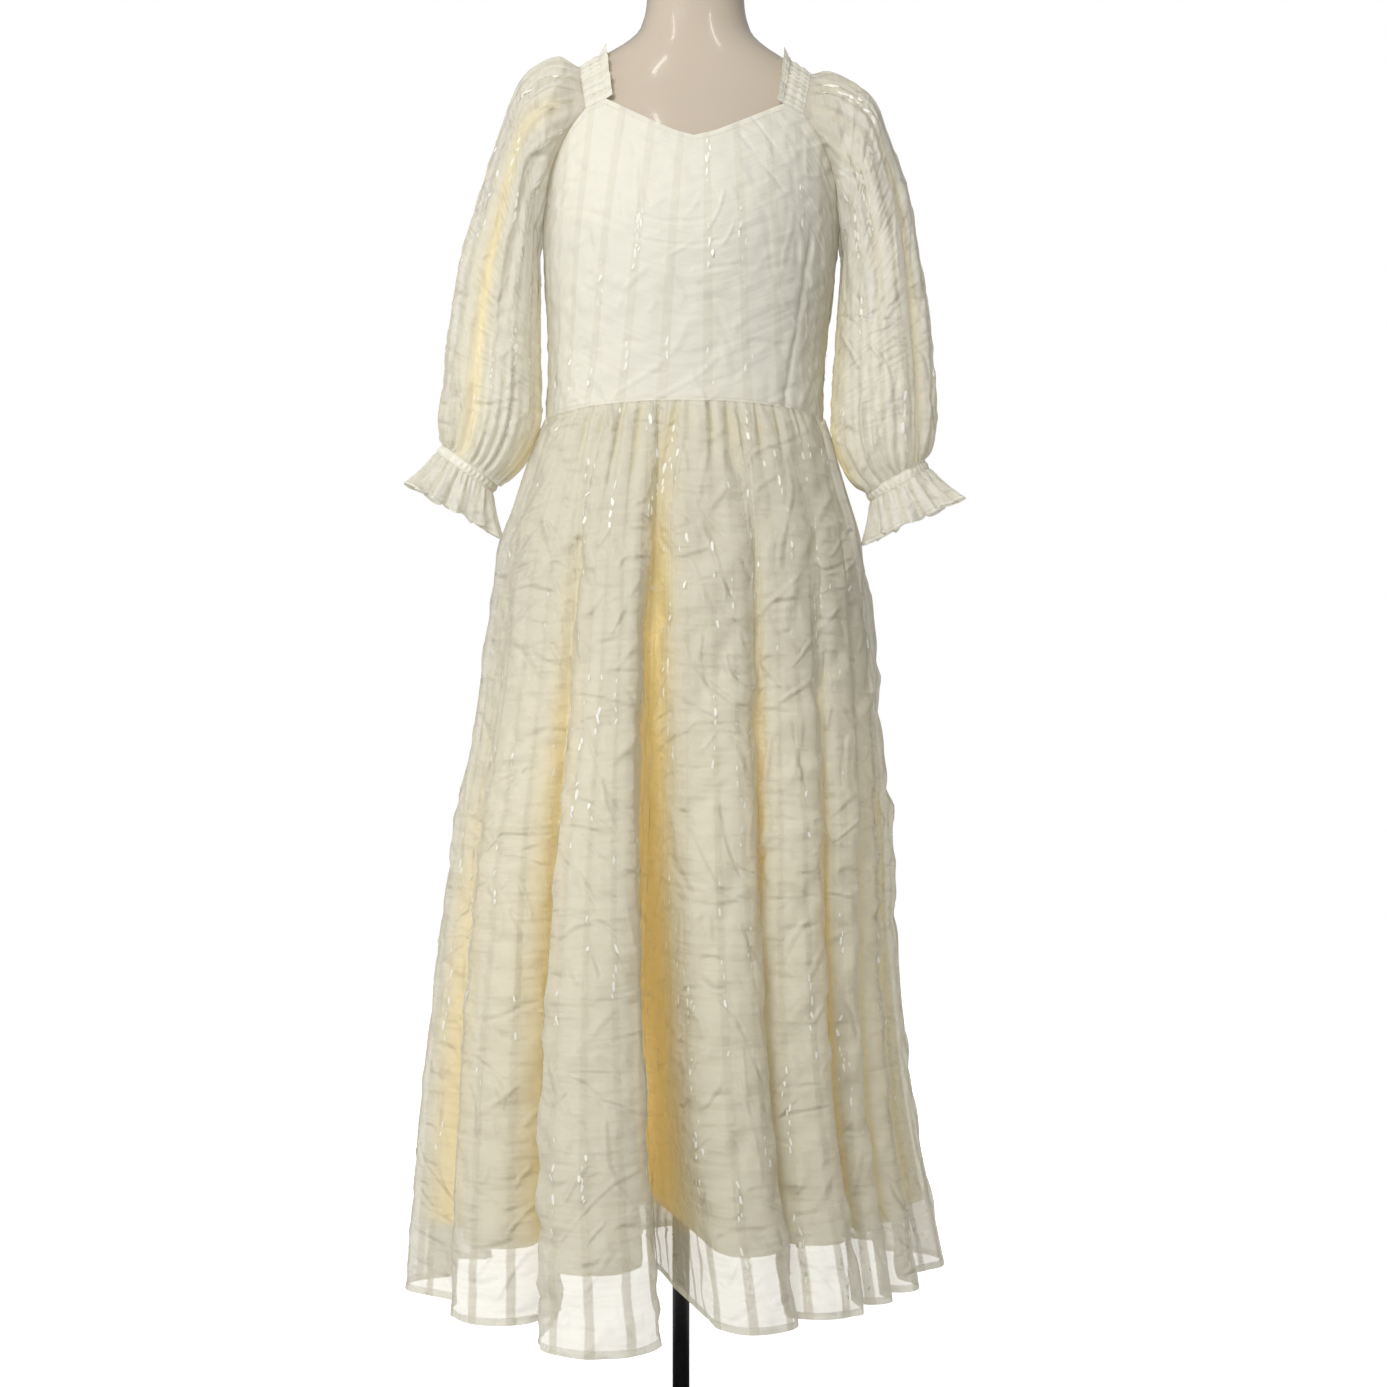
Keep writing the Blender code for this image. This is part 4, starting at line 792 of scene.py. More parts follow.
def lobe_depth(points, reach):
    """0 on a ring's outer folds to 1 at the bottom of the deep ones between them.

    The plan's radius is compared with its own mean over three reaches, which follows the ring's oval,
    and the difference is measured between the outermost and innermost ones within one reach.
    """
    middle = points.mean(axis=1, keepdims=True)
    radius = np.linalg.norm((points - middle)[..., :2], axis=-1)
    offset = radius - around(radius, 3 * reach, np.add) / (6 * reach + 1)
    outer, inner = around(offset, reach, np.maximum), around(offset, reach, np.minimum)
    share = (outer - offset) / np.maximum(outer - inner, 0.001)
    return ease((share - 0.35) / 0.5) * ease((outer - inner - 0.008) / 0.030)


def grid_cross(points, closed):
    """Cross product of a grid's two directions, columns first."""
    return np.cross(middle_direction(points, 1, closed), middle_direction(points, 0, False))


def grid_normals(points, closed, inside):
    """Unit normals of a grid, turned away from a point inside."""
    normal = unit(grid_cross(points, closed))
    return normal if np.sum(normal * (points - inside)) > 0 else -normal


def pushed(points, amount, closed, inside):
    """Grid points moved outward along their normals."""
    return points + grid_normals(points, closed, inside) * np.asarray(amount)[..., None]


def path_length(points):
    """Distance along a row of points, from 0 at its first one."""
    return np.concatenate([[0.0], np.cumsum(np.linalg.norm(np.diff(points, axis=0), axis=-1))])


def linked(name, data):
    """New object of the scene."""
    made = bpy.data.objects.new(name, data)
    bpy.context.scene.collection.objects.link(made)
    return made


def mesh_object(name, points, faces, material, uv=None):
    """Object from points and faces with equal corner counts; uv has a value for each corner."""
    mesh = bpy.data.meshes.new(name)
    mesh.vertices.add(len(points))
    mesh.vertices.foreach_set("co", points.astype(np.float32).ravel())
    mesh.loops.add(faces.size)
    mesh.loops.foreach_set("vertex_index", faces.astype(np.int32).ravel())
    mesh.polygons.add(len(faces))
    mesh.polygons.foreach_set("loop_start", np.arange(0, faces.size, faces.shape[1], dtype=np.int32))
    if uv is not None:
        mesh.uv_layers.new(name="UVMap").uv.foreach_set("vector", uv.astype(np.float32).ravel())
    mesh.update(calc_edges=True)
    mesh.validate()
    mesh.shade_smooth()
    mesh.materials.append(material)
    piece = linked(name, mesh)
    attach(piece, CLOTH_BODY)
    return piece


def sheet_object(name, points, across, up, material, closed=False, inside=None, fold=None):
    """Object from a grid of points, with its UV from across, by column, and up, by row, in metres."""
    rows, columns = points.shape[:2]
    inside = points.reshape(-1, 3).mean(axis=0) if inside is None else np.array(inside)
    row, column = np.meshgrid(np.arange(rows - 1), np.arange(columns if closed else columns - 1),
                              indexing="ij")
    after = (column + 1) % columns
    corners = np.stack([row * columns + column, row * columns + after,
                        (row + 1) * columns + after, (row + 1) * columns + column], axis=-1)
    across = np.broadcast_to(across, (rows, columns + 1 if closed else columns))
    up = np.broadcast_to(np.reshape(up, (rows, -1)), across.shape)
    place = np.stack([across, up], axis=-1)
    uv = np.stack([place[row, column], place[row, column + 1],
                   place[row + 1, column + 1], place[row + 1, column]], axis=-2)
    if np.sum(grid_cross(points, closed) * (points - inside)) < 0:
        corners, uv = corners[..., ::-1], uv[..., ::-1, :]
    piece = mesh_object(name, points.reshape(-1, 3), corners.reshape(-1, 4), material,
                        uv.reshape(-1, 2))
    # The attribute fold holds the amount of painted yellow shade and painted glow
    if fold is not None:
        values = piece.data.attributes.new("fold", "FLOAT", "POINT").data
        values.foreach_set("value", fold.astype(np.float32).ravel())
    return piece


def declared(cut, rests_on):
    """Turns what a sheet rests on into a list, and records nothing."""
    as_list(rests_on)


def scattered(name, shape, faces, places, frames, sizes, material):
    """Joined copies of a small shape: place + right * x + along * y + normal * z, scaled by sizes."""
    scaled = shape[None, :, :] * sizes[:, None, :]
    points = places[:, None, :] + np.einsum("npk,nkj->npj", scaled, frames)
    corners = faces[None, :, :] + (np.arange(len(places)) * len(shape))[:, None, None]
    return mesh_object(name, points.reshape(-1, 3), corners.reshape(-1, faces.shape[1]), material)


def along_path(path, distance, places):
    """Points of a path at given distances along it."""
    return np.stack([np.interp(places, distance, path[:, k]) for k in range(3)], axis=-1)


def stitch_frames(path, normals, pitch):
    """Places and frames at even distances along a path: right, along and normal at each."""
    distance = path_length(path)
    middle = np.arange(pitch / 2, distance[-1], pitch)
    ahead = along_path(path, distance, middle + pitch / 4)
    behind = along_path(path, distance, middle - pitch / 4)
    along = unit(ahead - behind)
    right = unit(np.cross(along, along_path(normals, distance, middle)))
    frames = np.stack([right, along, unit(np.cross(right, along))], axis=1)
    return along_path(path, distance, middle), frames


def edge_point(edge, share):
    """Distance from the centre line and height of a top edge: smooth along the neck and along the
    armhole, and straight where the band is sewn on."""
    share = np.asarray(share, dtype=float)
    table = np.array(edge)
    point = np.zeros(share.shape + (2,))
    for low, high in ((0.0, BAND_FROM), (BAND_FROM, BAND_TO), (BAND_TO, 1.0)):
        rows = table[(table[:, 0] >= low) & (table[:, 0] <= high)]
        here = (share >= low) & (share <= high)
        point = np.where(here[..., None], smooth_rows(np.clip(share, low, high), rows), point)
    return point[..., 0], point[..., 1]


def bodice_quarter(edge, first_turn, direction):
    """Quarter of the bodice from its waist up to its top edge and from a centre line to a side seam."""
    share = np.linspace(0.0, 1.0, BODICE_COLUMNS + 1)
    share = np.sort(np.concatenate([share, (BAND_FROM, BAND_TO)]))
    x, top_z = edge_point(edge, share)
    waist_turn = first_turn + direction * share * math.pi / 2
    top_turn = first_turn + direction * turn_at(x, top_z)
    up = np.linspace(0.0, 1.0, BODICE_FINE_ROWS)[:, None]
    turn = waist_turn * (1 - up) + top_turn * up
    z = (waist_height(waist_turn) + SEAM_GAP / 2) * (1 - up) + top_z * up
    return body_surface(BODICE_SECTIONS, turn, z)


def dart_relief(x, z, in_front):
    """The darts' stitched lines sink in, with a soft ridge on both sides, up to each dart's point."""
    relief = np.zeros(x.shape)
    for dart in DARTS:
        line = np.interp(z, (dart.foot_z, dart.top_z), (dart.foot_x, dart.top_x))
        away = np.abs(x - line)
        ridge = RIDGE_RISE * bell((away - RIDGE_AWAY) / RIDGE_WIDTH)
        here = ease((dart.top_z + 0.004 - z) / 0.03) * in_front
        relief = relief + here * (ridge - DART_SINK * bell(away / DART_WIDTH))
    return relief


def seam_relief(across, seam):
    """A side seam's sunken line: across is the closed ring's distance and seam the seam's column."""
    away = np.abs(across[:-1] - across[seam])
    away = np.minimum(away, across[-1] - across[0] - away)
    return -SEAM_SINK * bell(away / SEAM_WIDTH)[None, :]


def bodice_grid():
    """The bodice as one ring of columns from the left side seam round the front, and its quarter width."""
    front_left = bodice_quarter(FRONT_EDGE, 0.0, -1.0)
    front_right = bodice_quarter(FRONT_EDGE, 0.0, 1.0)
    back_right = bodice_quarter(BACK_EDGE, math.pi, -1.0)
    back_left = bodice_quarter(BACK_EDGE, math.pi, 1.0)
    quarter = front_left.shape[1] - 1
    ring = [front_left[:, ::-1], front_right[:, 1:], back_right[:, ::-1][:, 1:], back_left[:, 1:-1]]
    points = lean(np.concatenate(ring, axis=1))
    x, y, z = np.moveaxis(points, -1, 0)
    level = points[np.argmin(np.abs(points[:, quarter, 2] - BUST_Z))]
    across = path_length(np.concatenate([level, level[:1]]))
    across = across - across[quarter]
    column = across[None, :-1]
    beside_middle = 0.35 + 0.65 * ease((np.abs(np.abs(x) - 0.02) - 0.04) / 0.08)
    near_waist = 1 - ease((z - WAIST_Z) / 0.035)
    amount = swelled(column, z, BODICE_SWELL) - BODICE_SINK
    amount = amount + BODICE_CREASE * beside_middle * creased(column, z * 1.8, 121, 0.6)
    amount = amount + near_waist * swelled(column, z, BODICE_GATHER)
    amount = amount + dart_relief(x, z, y < 0)
    amount = amount + seam_relief(across, 0) + seam_relief(across, 2 * quarter)
    amount = amount * ease((z[-1:] - z) / 0.006)
    return pushed(points, amount, True, points.reshape(-1, 3).mean(axis=0)), across, quarter


def level_place(points, middle):
    """True distance of each point of a closed ring from its middle column, along its own level."""
    steps = np.linalg.norm(points - np.roll(points, 1, axis=1), axis=-1)
    along = np.cumsum(steps, axis=1)
    return along - along[:, middle][:, None]


def ring_part(points, across, first, last):
    """Columns first to last of a ring, also past its end, and their distances across."""
    columns = points.shape[1]
    index = np.arange(first, last + 1)
    whole = across[-1] - across[0]
    return points[:, index % columns], across[index % columns] + whole * (index // columns)


def parted(points, edge_column, direction, gap):
    """Cloth drawn back from a zip: points near the edge column move sideways by gap in all."""
    distance = np.abs(points[..., 0] - points[:, edge_column, 0][:, None])
    moved = points.copy()
    moved[..., 0] += direction * np.reshape(gap, (-1, 1)) * (1 - ease(distance / 0.012))
    return moved


def angle_from(turn, centre):
    """Signed angle from a centre, between minus and plus half a turn."""
    return np.arctan2(np.sin(turn - centre), np.cos(turn - centre))


def waist_gathers(turn, drop):
    """How far the gathered cloth stands out below the waist seam.

    It puffs out and comes back down the skirt, and narrow creases cut into the puff: an uneven row of
    short ones all round, and the long ones seen in front, which are repeated behind.
    """
    size = PUFF_SIDE + (PUFF_FRONT - PUFF_SIDE) * np.abs(np.cos(turn)) ** 0.7
    row = 1 + np.cos(GATHER_COUNT * turn + waved(turn, GATHER_DRIFT))
    reach = GATHER_SHORT * (1.0 + waved(turn, GATHER_REACH))
    crease = SHORT_DEPTH * np.exp(-row / SHORT_WIDTH) * (1 - ease(drop / reach))
    spread = GATHER_WIDTH * (1 + 5 * drop)
    for gather in FRONT_GATHERS:
        away = np.clip((gather.x - SKIRT_SECTIONS[0].centre_x) / SKIRT_SECTIONS[0].half_width, -1, 1)
        place = math.copysign(math.asin(abs(away) ** (1 / ROUNDNESS)), away)
        left = gather.depth * (1 - ease(drop / (gather.length * GATHER_FADE)))
        for centre in (place, math.pi - place):
            crease = np.maximum(crease, left * bell(angle_from(turn, centre) / spread))
    off_zip = ease(np.abs(angle_from(turn, math.pi)) / ZIP_CLEAR_TURN)
    rise = PUFF_START + (1 - PUFF_START) * ease(drop / PUFF_RISE)
    return size * rise * (1 - ease(drop / PUFF_DROP)) * (1 - crease) * off_zip


def skirt_plan(share):
    """The solids' columns at any share of the length: points, and the angle of each at the waist."""
    hem, turn = hem_columns()
    turn = turn[None, :]
    share = np.asarray(share, dtype=float)[:, None]
    folds = smooth_rows(share, SKIRT_SECTIONS)[..., 4:5]
    plan = skirt_base(turn, share) + folds * (hem - skirt_base(turn, np.ones_like(share)))
    column = np.arange(turn.shape[1])
    lift = DEEP_VALLEY_LIFT * bell((column - DEEP_VALLEY_COLUMN) / 1.5)
    z = waist_height(turn) * (1 - share) + share * (HEM_Z + lift[None, :]) - SEAM_GAP / 2
    return np.concatenate([plan, z[..., None]], axis=-1), turn[0]


def skirt_grid(rows, steps, lowest, inset):
    """Skirt or lining as a ring: smooth curves through the solids' columns, drawn inward by inset.

    Returns the points, distance across by column, height above the free edge by row, the waist angle
    by column and the drop below the waist by row.
    """
    share = np.linspace(0.0, 1.0, rows) ** 1.25 * lowest
    points, turn = skirt_plan(share)
    points = round_through(points, steps, True, 1)
    turn = np.interp(np.arange(points.shape[1]) / steps, np.arange(len(turn) + 1),
                     np.append(turn, turn[0] + 2 * math.pi))
    hem = points[-1]
    across = path_length(np.concatenate([hem, hem[:1]]))
    drop = share * (WAIST_Z - HEM_Z)
    if inset:
        depth = LINING_TOP_INSET + (LINING_INSET - LINING_TOP_INSET) * ease(share / LINING_INSET_SHARE)
        points = points + plan_inward(points) * depth[:, None, None]
    return points, across, drop[-1] - drop, turn, drop


def finished_skirt():
    """The organza skirt with its gathers, soft ridges and crinkles, and its measures."""
    points, across, above_hem, turn, drop = skirt_grid(SKIRT_ROWS, SKIRT_STEPS, 1.0, False)
    column, row = across[None, :-1], drop[:, None]
    level = level_place(points, FRONT_LOBES * COLUMNS_PER_LOBE * SKIRT_STEPS // 2)
    lower = ease(row / 0.16)
    patch = 1.0 - SKIRT_PATCH.height + swelled(column, row, SKIRT_PATCH)
    amount = waist_gathers(turn[None, :], row) + SKIRT_STAND
    amount = amount + lower * (swelled(column, row, SKIRT_SWELL) + swelled(level, row, SKIRT_RIDGE))
    amount = amount + lower * SKIRT_CREASE * patch * creased(level, row, 101, 1.4)
    points = points - plan_inward(points) * amount[..., None]
    points[..., 2] += lower * (swelled(column, row, HEM_DIP) - HEM_DIP.height / 2)
    return points, across, above_hem


def finished_lining():
    """The lining with softer folds, a few millimetres inside the skirt, and its measures."""
    points, across, above_hem, _, drop = skirt_grid(LINING_ROWS, LINING_STEPS, LINING_SHARE, True)
    column, row = across[None, :-1], drop[:, None]
    amount = ease(row / 0.16) * swelled(column, row, LINING_SWELL)
    return points - plan_inward(points) * amount[..., None], across, above_hem


def armhole_line(turns):
    """The sleeve's sewn edge on the +X side by angle: front armhole up, band over, back armhole down."""
    degrees = np.degrees(turns)
    steps = np.linspace(0.0, SLEEVE_FRONT_TURN, len(ARMHOLE_SHARES))
    line = np.zeros(turns.shape + (3,))
    for edge, measure, behind in ((FRONT_EDGE, degrees, False), (BACK_EDGE, 360.0 - degrees, True)):
        x, z = edge_point(edge, np.interp(measure, steps, ARMHOLE_SHARES))
        turn = math.pi - turn_at(x, z) if behind else turn_at(x, z)
        here = measure <= SLEEVE_FRONT_TURN
        line = np.where(here[:, None], body_surface(BODICE_SECTIONS, turn, z), line)
    along = np.clip((degrees - SLEEVE_FRONT_TURN) / (360.0 - 2 * SLEEVE_FRONT_TURN), 0.0, 1.0)
    here = (degrees > SLEEVE_FRONT_TURN) & (degrees < 360.0 - SLEEVE_FRONT_TURN)
    return np.where(here[:, None], band_points(np.ones_like(along), along), line)


def sleeve_folds(folds, station, turn):
    """Depth of a sleeve's long folds, and how much painted yellow shade they get at the bottom.

    Along the sleeve a fold fades as 1 - s squared, and round it as a bell of its own width.
    """
    depth, painted_gold = 0.0, 0.0
    for fold in folds:
        middle, half = (fold.first + fold.last) / 2, (fold.last - fold.first) / 2 + 0.5
        reach = np.clip(1 - ((station - middle) / half) ** 2, 0.0, 1.0)
        bend = (np.degrees(turn) - fold.turn) / fold.width
        depth = depth + fold.depth * reach * bell(bend)
        # Painted shade at the bottom of the deep folds
        deep = ease((fold.depth - 0.006) / 0.012) * np.sqrt(reach) * bell(bend / 0.62)
        painted_gold = np.maximum(painted_gold, FOLD_PAINTED_SHADE * deep)
    return depth, painted_gold


def sleeve_gathers(station, last, turn, seed):
    """Ripples over the shoulder, which fade down the sleeve, and above the cuff."""
    uneven = 1.1 * np.sin(2 * turn + seed) + 0.8 * np.sin(5 * turn)
    head = np.sin(turn / 2) ** 4 * ease(1 - station / (3.0 + np.sin(9 * turn))) * ease((station + 1) / 0.7)
    foot = ease((station - last + 4.0 + 0.8 * np.sin(7 * turn)) / 3.0) * ease((last - station) / 0.5)
    at_head = HEAD_GATHER * head * np.cos(HEAD_GATHERS * turn + uneven)
    return at_head + CUFF_GATHER * foot * np.cos(CUFF_GATHERS * turn + 1.5 * uneven)


def sleeve_grid(side):
    """Sleeve from its armhole to its cuff: smooth curves through the rings, with long folds, gathers
    at the head and the cuff, and crinkles.

    Returns the points, across, up, and how much painted yellow shade each point gets: most at the bottom of
    the deep folds, and some on the side that faces the bodice, where shade falls.
    """
    turns = np.arange(SLEEVE_COLUMNS) * (2 * math.pi / SLEEVE_COLUMNS)
    start = lean(armhole_line(turns) * (side.sign, 1.0, 1.0))
    loops = [start] + [ring_loop(ring, turns) for ring in side.rings + (side.cuff,)]
    points = round_through(np.stack(loops), SLEEVE_STEPS, False, 0)
    last = len(side.rings)
    station = np.linspace(-1.0, last, len(points))[:, None]
    turn = turns[None, :]
    from_inside = np.degrees(np.minimum(turn, 2 * math.pi - turn))
    between_ends = ease((station - 1.0) / 3.0) * ease((last - station) / 1.5)
    depth, painted_gold = sleeve_folds(side.folds, station, turn)
    # Painted shade on the side that faces the bodice
    painted_gold = np.maximum(painted_gold, INNER_PAINTED_SHADE * bell(from_inside / INNER_PAINTED_SHADE_TURN) * between_ends)
    across = np.append(turns, 2 * math.pi) * (SLEEVE_GIRTH / (2 * math.pi))
    length = path_length(points[:, SLEEVE_COLUMNS // 2])
    column, row = across[None, :-1], length[:, None]
    swell = swelled(column, row, SLEEVE_SWELL, side.seed) - SLEEVE_SWELL.height / 2
    swell = swell + SLEEVE_CREASE * creased(column, row, side.seed + 141, 0.7)
    amount = sleeve_gathers(station, last, turn, side.seed) - depth + ease((station + 1) / 1.2) * swell
    away = unit(points - points.mean(axis=1, keepdims=True))
    return points + away * amount[..., None], across, length[-1] - length, painted_gold


def band_middle(side):
    """A point that the band of one side goes round."""
    return side.sign * BAND_MIDDLE_X, BAND_CENTRE_Y, BAND_CENTRE_Z


def band_grid(side):
    """Shirred band: the stitched rows pull the cloth down between small puffs, and the header on the
    neck side waves freely."""
    along = np.linspace(BAND_END, 1.0 - BAND_END, BAND_FINE_COLUMNS)[None, :]
    across = np.linspace(-1.0, 1.0, BAND_FINE_ROWS)[:, None]
    turn = 2 * math.pi * along
    from_end = np.minimum(along, 1 - along)
    frill = np.clip(-across, 0.0, 1.0)
    pleat = np.cos(BAND_PLEATS * turn + 1.6 * np.sin(5 * turn))
    free = FRILL_RISE + FRILL_WAVE * np.cos(FRILL_WAVES * turn) + FRILL_PLEAT * pleat
    puff = 0.3 + 0.7 * np.abs(np.sin(math.pi * (across - BAND_STITCH_ROWS[0]) / 0.42))
    sewn = puff * BAND_PUFF * (0.5 + 0.5 * pleat) - (frill == 0) * BAND_SINK
    lift = frill * free * (0.4 + 0.6 * ease(from_end / 0.05))
    lift = lift + ease(from_end / 0.06) * (1 - frill) * sewn
    points = band_points(across, along, lift) * (side.sign, 1.0, 1.0)
    up = 0.009 * (1 - frill[:, 0]) + 0.023 * np.clip(across[:, 0], 0.0, 1.0)
    return lean(points), along[0] * CUTS["shoulder_band"].width, up


def cuff_grids(side):
    """Shirred cuff band, and the ruffle that flares and waves below it."""
    down = cuff_down(side.cuff)
    turns = np.arange(CUFF_FINE_COLUMNS) * (2 * math.pi / CUFF_FINE_COLUMNS)
    ring = ring_loop(side.cuff, turns)
    centre = ring.mean(axis=0)
    pleat = np.cos(CUFF_PLEATS * turns + waved(turns, CUFF_DRIFT))
    share = np.linspace(0.0, 1.0, CUFF_FINE_ROWS)
    puff = np.sin(math.pi * np.clip((share - CUFF_STITCH_ROWS[0]) / 0.76, 0.0, 1.0))
    band = []
    for fall, bulge in zip(share, puff):
        loop = ring + down * (SEAM_GAP + (CUFF_WIDTH - SEAM_GAP) * fall)
        amount = bulge * CUFF_PUFF * (0.5 + 0.5 * pleat) - 0.0002
        band.append(moved_out(loop, amount, centre + down * fall * CUFF_WIDTH))
    top = ring + down * (CUFF_WIDTH + SEAM_GAP)
    bottom = ring_loop(side.ruffle_edge, turns)
    uneven = 1.0 + waved(turns, RUFFLE_SIZE)
    wave = RUFFLE_WAVE * uneven * np.cos(RUFFLE_WAVES * turns + waved(turns, RUFFLE_DRIFT))
    dip = waved(turns, RUFFLE_DIPS)
    ruffle = []
    for fall in np.linspace(0.0, 1.0, RUFFLE_FINE_ROWS):
        loop = top * (1 - fall) + bottom * fall
        gather = RUFFLE_PLEAT * pleat * (1 - 0.9 * ease(fall / 0.55)) * ease(fall / 0.08)
        loop = moved_out(loop, fall ** 1.3 * wave + gather, loop.mean(axis=0))
        ruffle.append(loop + down * (RUFFLE_DIP * fall * dip)[:, None])
    return np.stack(band), np.stack(ruffle)


def centre_back_line():
    """Outer points of the centre back from the zip's foot up to its top."""
    skirt, _ = skirt_plan(np.linspace(ZIP_END_SHARE, 0.0, 40))
    bodice, _, quarter = bodice_grid()
    line = np.concatenate([skirt[:-1, ZIP_COLUMN], bodice[:, 3 * quarter]])
    height = np.linspace(line[0, 2] + ZIP_BOTTOM_RISE, BACK_EDGE[0].z - ZIP_TOP_DROP, ZIP_ROWS)
    return along_path(line, line[:, 2], height)


def node(tree, kind, sockets=None, **settings):
    """Add a shader node, set its properties, and fill its sockets with values or other sockets."""
    made = tree.nodes.new(kind)
    for key, value in settings.items():
        setattr(made, key, value)
    for key, value in (sockets or {}).items():
        if isinstance(value, bpy.types.NodeSocket):
            tree.links.new(value, made.inputs[key])
        else:
            made.inputs[key].default_value = value
    return made


def maths(tree, operation, a, b=0.0, c=0.0):
    """One math node's output."""
    return node(tree, "ShaderNodeMath", {0: a, 1: b, 2: c}, operation=operation).outputs[0]


def band_mask(tree, value, from_edge, to_edge):
    """0 to 1 as a value goes smoothly from one edge to the other."""
    sockets = {"Value": value, "From Min": from_edge, "From Max": to_edge}
    return node(tree, "ShaderNodeMapRange", sockets, interpolation_type="SMOOTHSTEP").outputs["Result"]


def mixed(tree, factor, a, b):
    """Blend of two colours."""
    return node(tree, "ShaderNodeMix", {0: factor, 6: a, 7: b}, data_type="RGBA").outputs[2]


def layered(tree, layers):
    """Sum of values, each times its own amount."""
    total = 0.0
    for value, amount in layers:
        total = maths(tree, "MULTIPLY_ADD", value, amount, total)
    return total


def bumped(tree, height, strength, depth):
    """Normal of a surface that stands up by height times depth."""
    sockets = {"Height": height, "Strength": strength, "Distance": depth}
    return node(tree, "ShaderNodeBump", sockets).outputs["Normal"]


def vectors(tree, operation, a, b, output=0):
    """One vector math node's output."""
    return node(tree, "ShaderNodeVectorMath", {0: a, 1: b}, operation=operation).outputs[output]


def object_place(tree):
    """Object coordinates."""
    return node(tree, "ShaderNodeTexCoord").outputs["Object"]


def opaque(colour, shade=1.0):
    """A colour times a shade, with full alpha."""
    return [part * shade for part in colour] + [1.0]


def noise(tree, vector, scale, detail=1.0):
    """Noise value at a vector."""
    sockets = {"Vector": vector, "Scale": scale, "Detail": detail}
    return node(tree, "ShaderNodeTexNoise", sockets).outputs["Fac"]


def pressed_creases(tree, place):
    """Short straight creases: slanting planes cut the cloth, and a noise breaks the lines off.

    For each plane's direction n, the line's measure is place . n / pitch + noise, and the crease is
    1 where its fraction is nearest to a half and 0 a crease's width away. Every second direction is
    pressed inward, and it lies where the one before it is broken off.
    """
    height = 0.0
    wander = maths(tree, "MULTIPLY", noise(tree, place, 8.0, 0.0), 3.0)
    for number, direction in enumerate(CREASE_PLANES):
        outward = number % 2 == 1
        if not outward:
            shifted = vectors(tree, "ADD", place, [part * number for part in PLANE_SHIFT])
            patches = noise(tree, shifted, 21.0)
        along = vectors(tree, "DOT_PRODUCT", shifted, direction, 1)
        measure = maths(tree, "MULTIPLY_ADD", along, 1.0 / CREASE_STEP, wander)
        away = maths(tree, "ABSOLUTE", maths(tree, "SUBTRACT", maths(tree, "FRACT", measure), 0.5))
        line = band_mask(tree, away, CREASE_HALF / CREASE_STEP, 0.0)
        here = band_mask(tree, patches, 0.50, 0.38 if outward else 0.62)
        crease = maths(tree, "MULTIPLY", line, here)
        height = maths(tree, "MULTIPLY_ADD", crease, 1.0 if outward else -1.0, height)
    return height


def new_material(name):
    """Empty node material and its tree. Its glow, if any, such as the painted glow in the organza's folds,
    is too faint to be sampled as a lamp.
    """
    made = bpy.data.materials.new(name)
    made.use_nodes = True
    made.cycles.emission_sampling = "NONE"
    made.node_tree.nodes.clear()
    return made, made.node_tree


def surfaced(made, shader):
    """The material with that shader on its surface."""
    output = made.node_tree.nodes.new("ShaderNodeOutputMaterial")
    made.node_tree.links.new(shader.outputs[0], output.inputs["Surface"])
    return made


def cloth_place(tree):
    """U and V of the cloth in metres, and a call that stretches them into a vector."""
    uv = node(tree, "ShaderNodeUVMap", uv_map="UVMap").outputs["UV"]
    parts = node(tree, "ShaderNodeSeparateXYZ", {"Vector": uv})

    def stretched(along_u, along_v):
        return vectors(tree, "MULTIPLY", uv, (along_u, along_v, 1.0))

    return parts.outputs["X"], parts.outputs["Y"], stretched


def let_through(tree, tint, normal):
    """Light that comes through the cloth."""
    return node(tree, "ShaderNodeBsdfTranslucent", {"Color": tint, "Normal": normal})


def blended(tree, share, first, second):
    """Blend of two shaders: the share is the second one's."""
    return node(tree, "ShaderNodeMixShader", {0: share, 1: first.outputs[0], 2: second.outputs[0]})


def hem_mask(tree, v, width):
    """1 on the turned hem along the cloth's free edge, and 0 above it."""
    return band_mask(tree, v, width + 0.0003, width - 0.0003)


def woven_stripes(tree, u, sizes):
    """1 on the woven stripes, which lie at the middle of each pitch, and 0 between them."""
    position = maths(tree, "FRACT", maths(tree, "DIVIDE", u, sizes.stripe_pitch))
    distance = maths(tree, "ABSOLUTE", maths(tree, "SUBTRACT", position, 0.5))
    distance = maths(tree, "MULTIPLY", distance, sizes.stripe_pitch)
    half = sizes.stripe_width / 2
    return band_mask(tree, distance, half + 0.0009, half - 0.0009)


def organza_height(tree, place, stretched, slub, stripe, threads, hem):
    """Height of the organza: slubs, pressed creases, soft folds, crosswise ripples, stripes, threads
    and hems, each by its own amount."""
    soft_folds, ripples = noise(tree, place, 26.0), noise(tree, stretched(13.0, 105.0), 1.0)
    layers = [(pressed_creases(tree, place), 1.15), (slub, 0.25), (soft_folds, 8.0), (ripples, 2.0),
              (stripe, 0.10), (hem, 0.4)]
    return layered(tree, layers + [(thread, 0.012) for thread in threads])


def with_gaps(tree, cloth, coverage, stripe, hem, fold):
    """The cloth where it covers and nothing in its gaps: the ground weave covers least, the stripes more,
    and hems and the folds with painted yellow shade nearly all."""
    cover = maths(tree, "MULTIPLY_ADD", stripe, STRIPE_COVER * (1.0 - coverage), coverage)
    for mask, share in ((hem, HEM_COVER), (fold, PAINTED_FOLD_COVER)):
        cover = maths(tree, "MAXIMUM", cover, maths(tree, "MULTIPLY", mask, share))
    gaps = node(tree, "ShaderNodeBsdfTransparent", {"Color": (1.0, 0.99, 0.97, 1.0)})
    return blended(tree, cover, gaps, cloth)


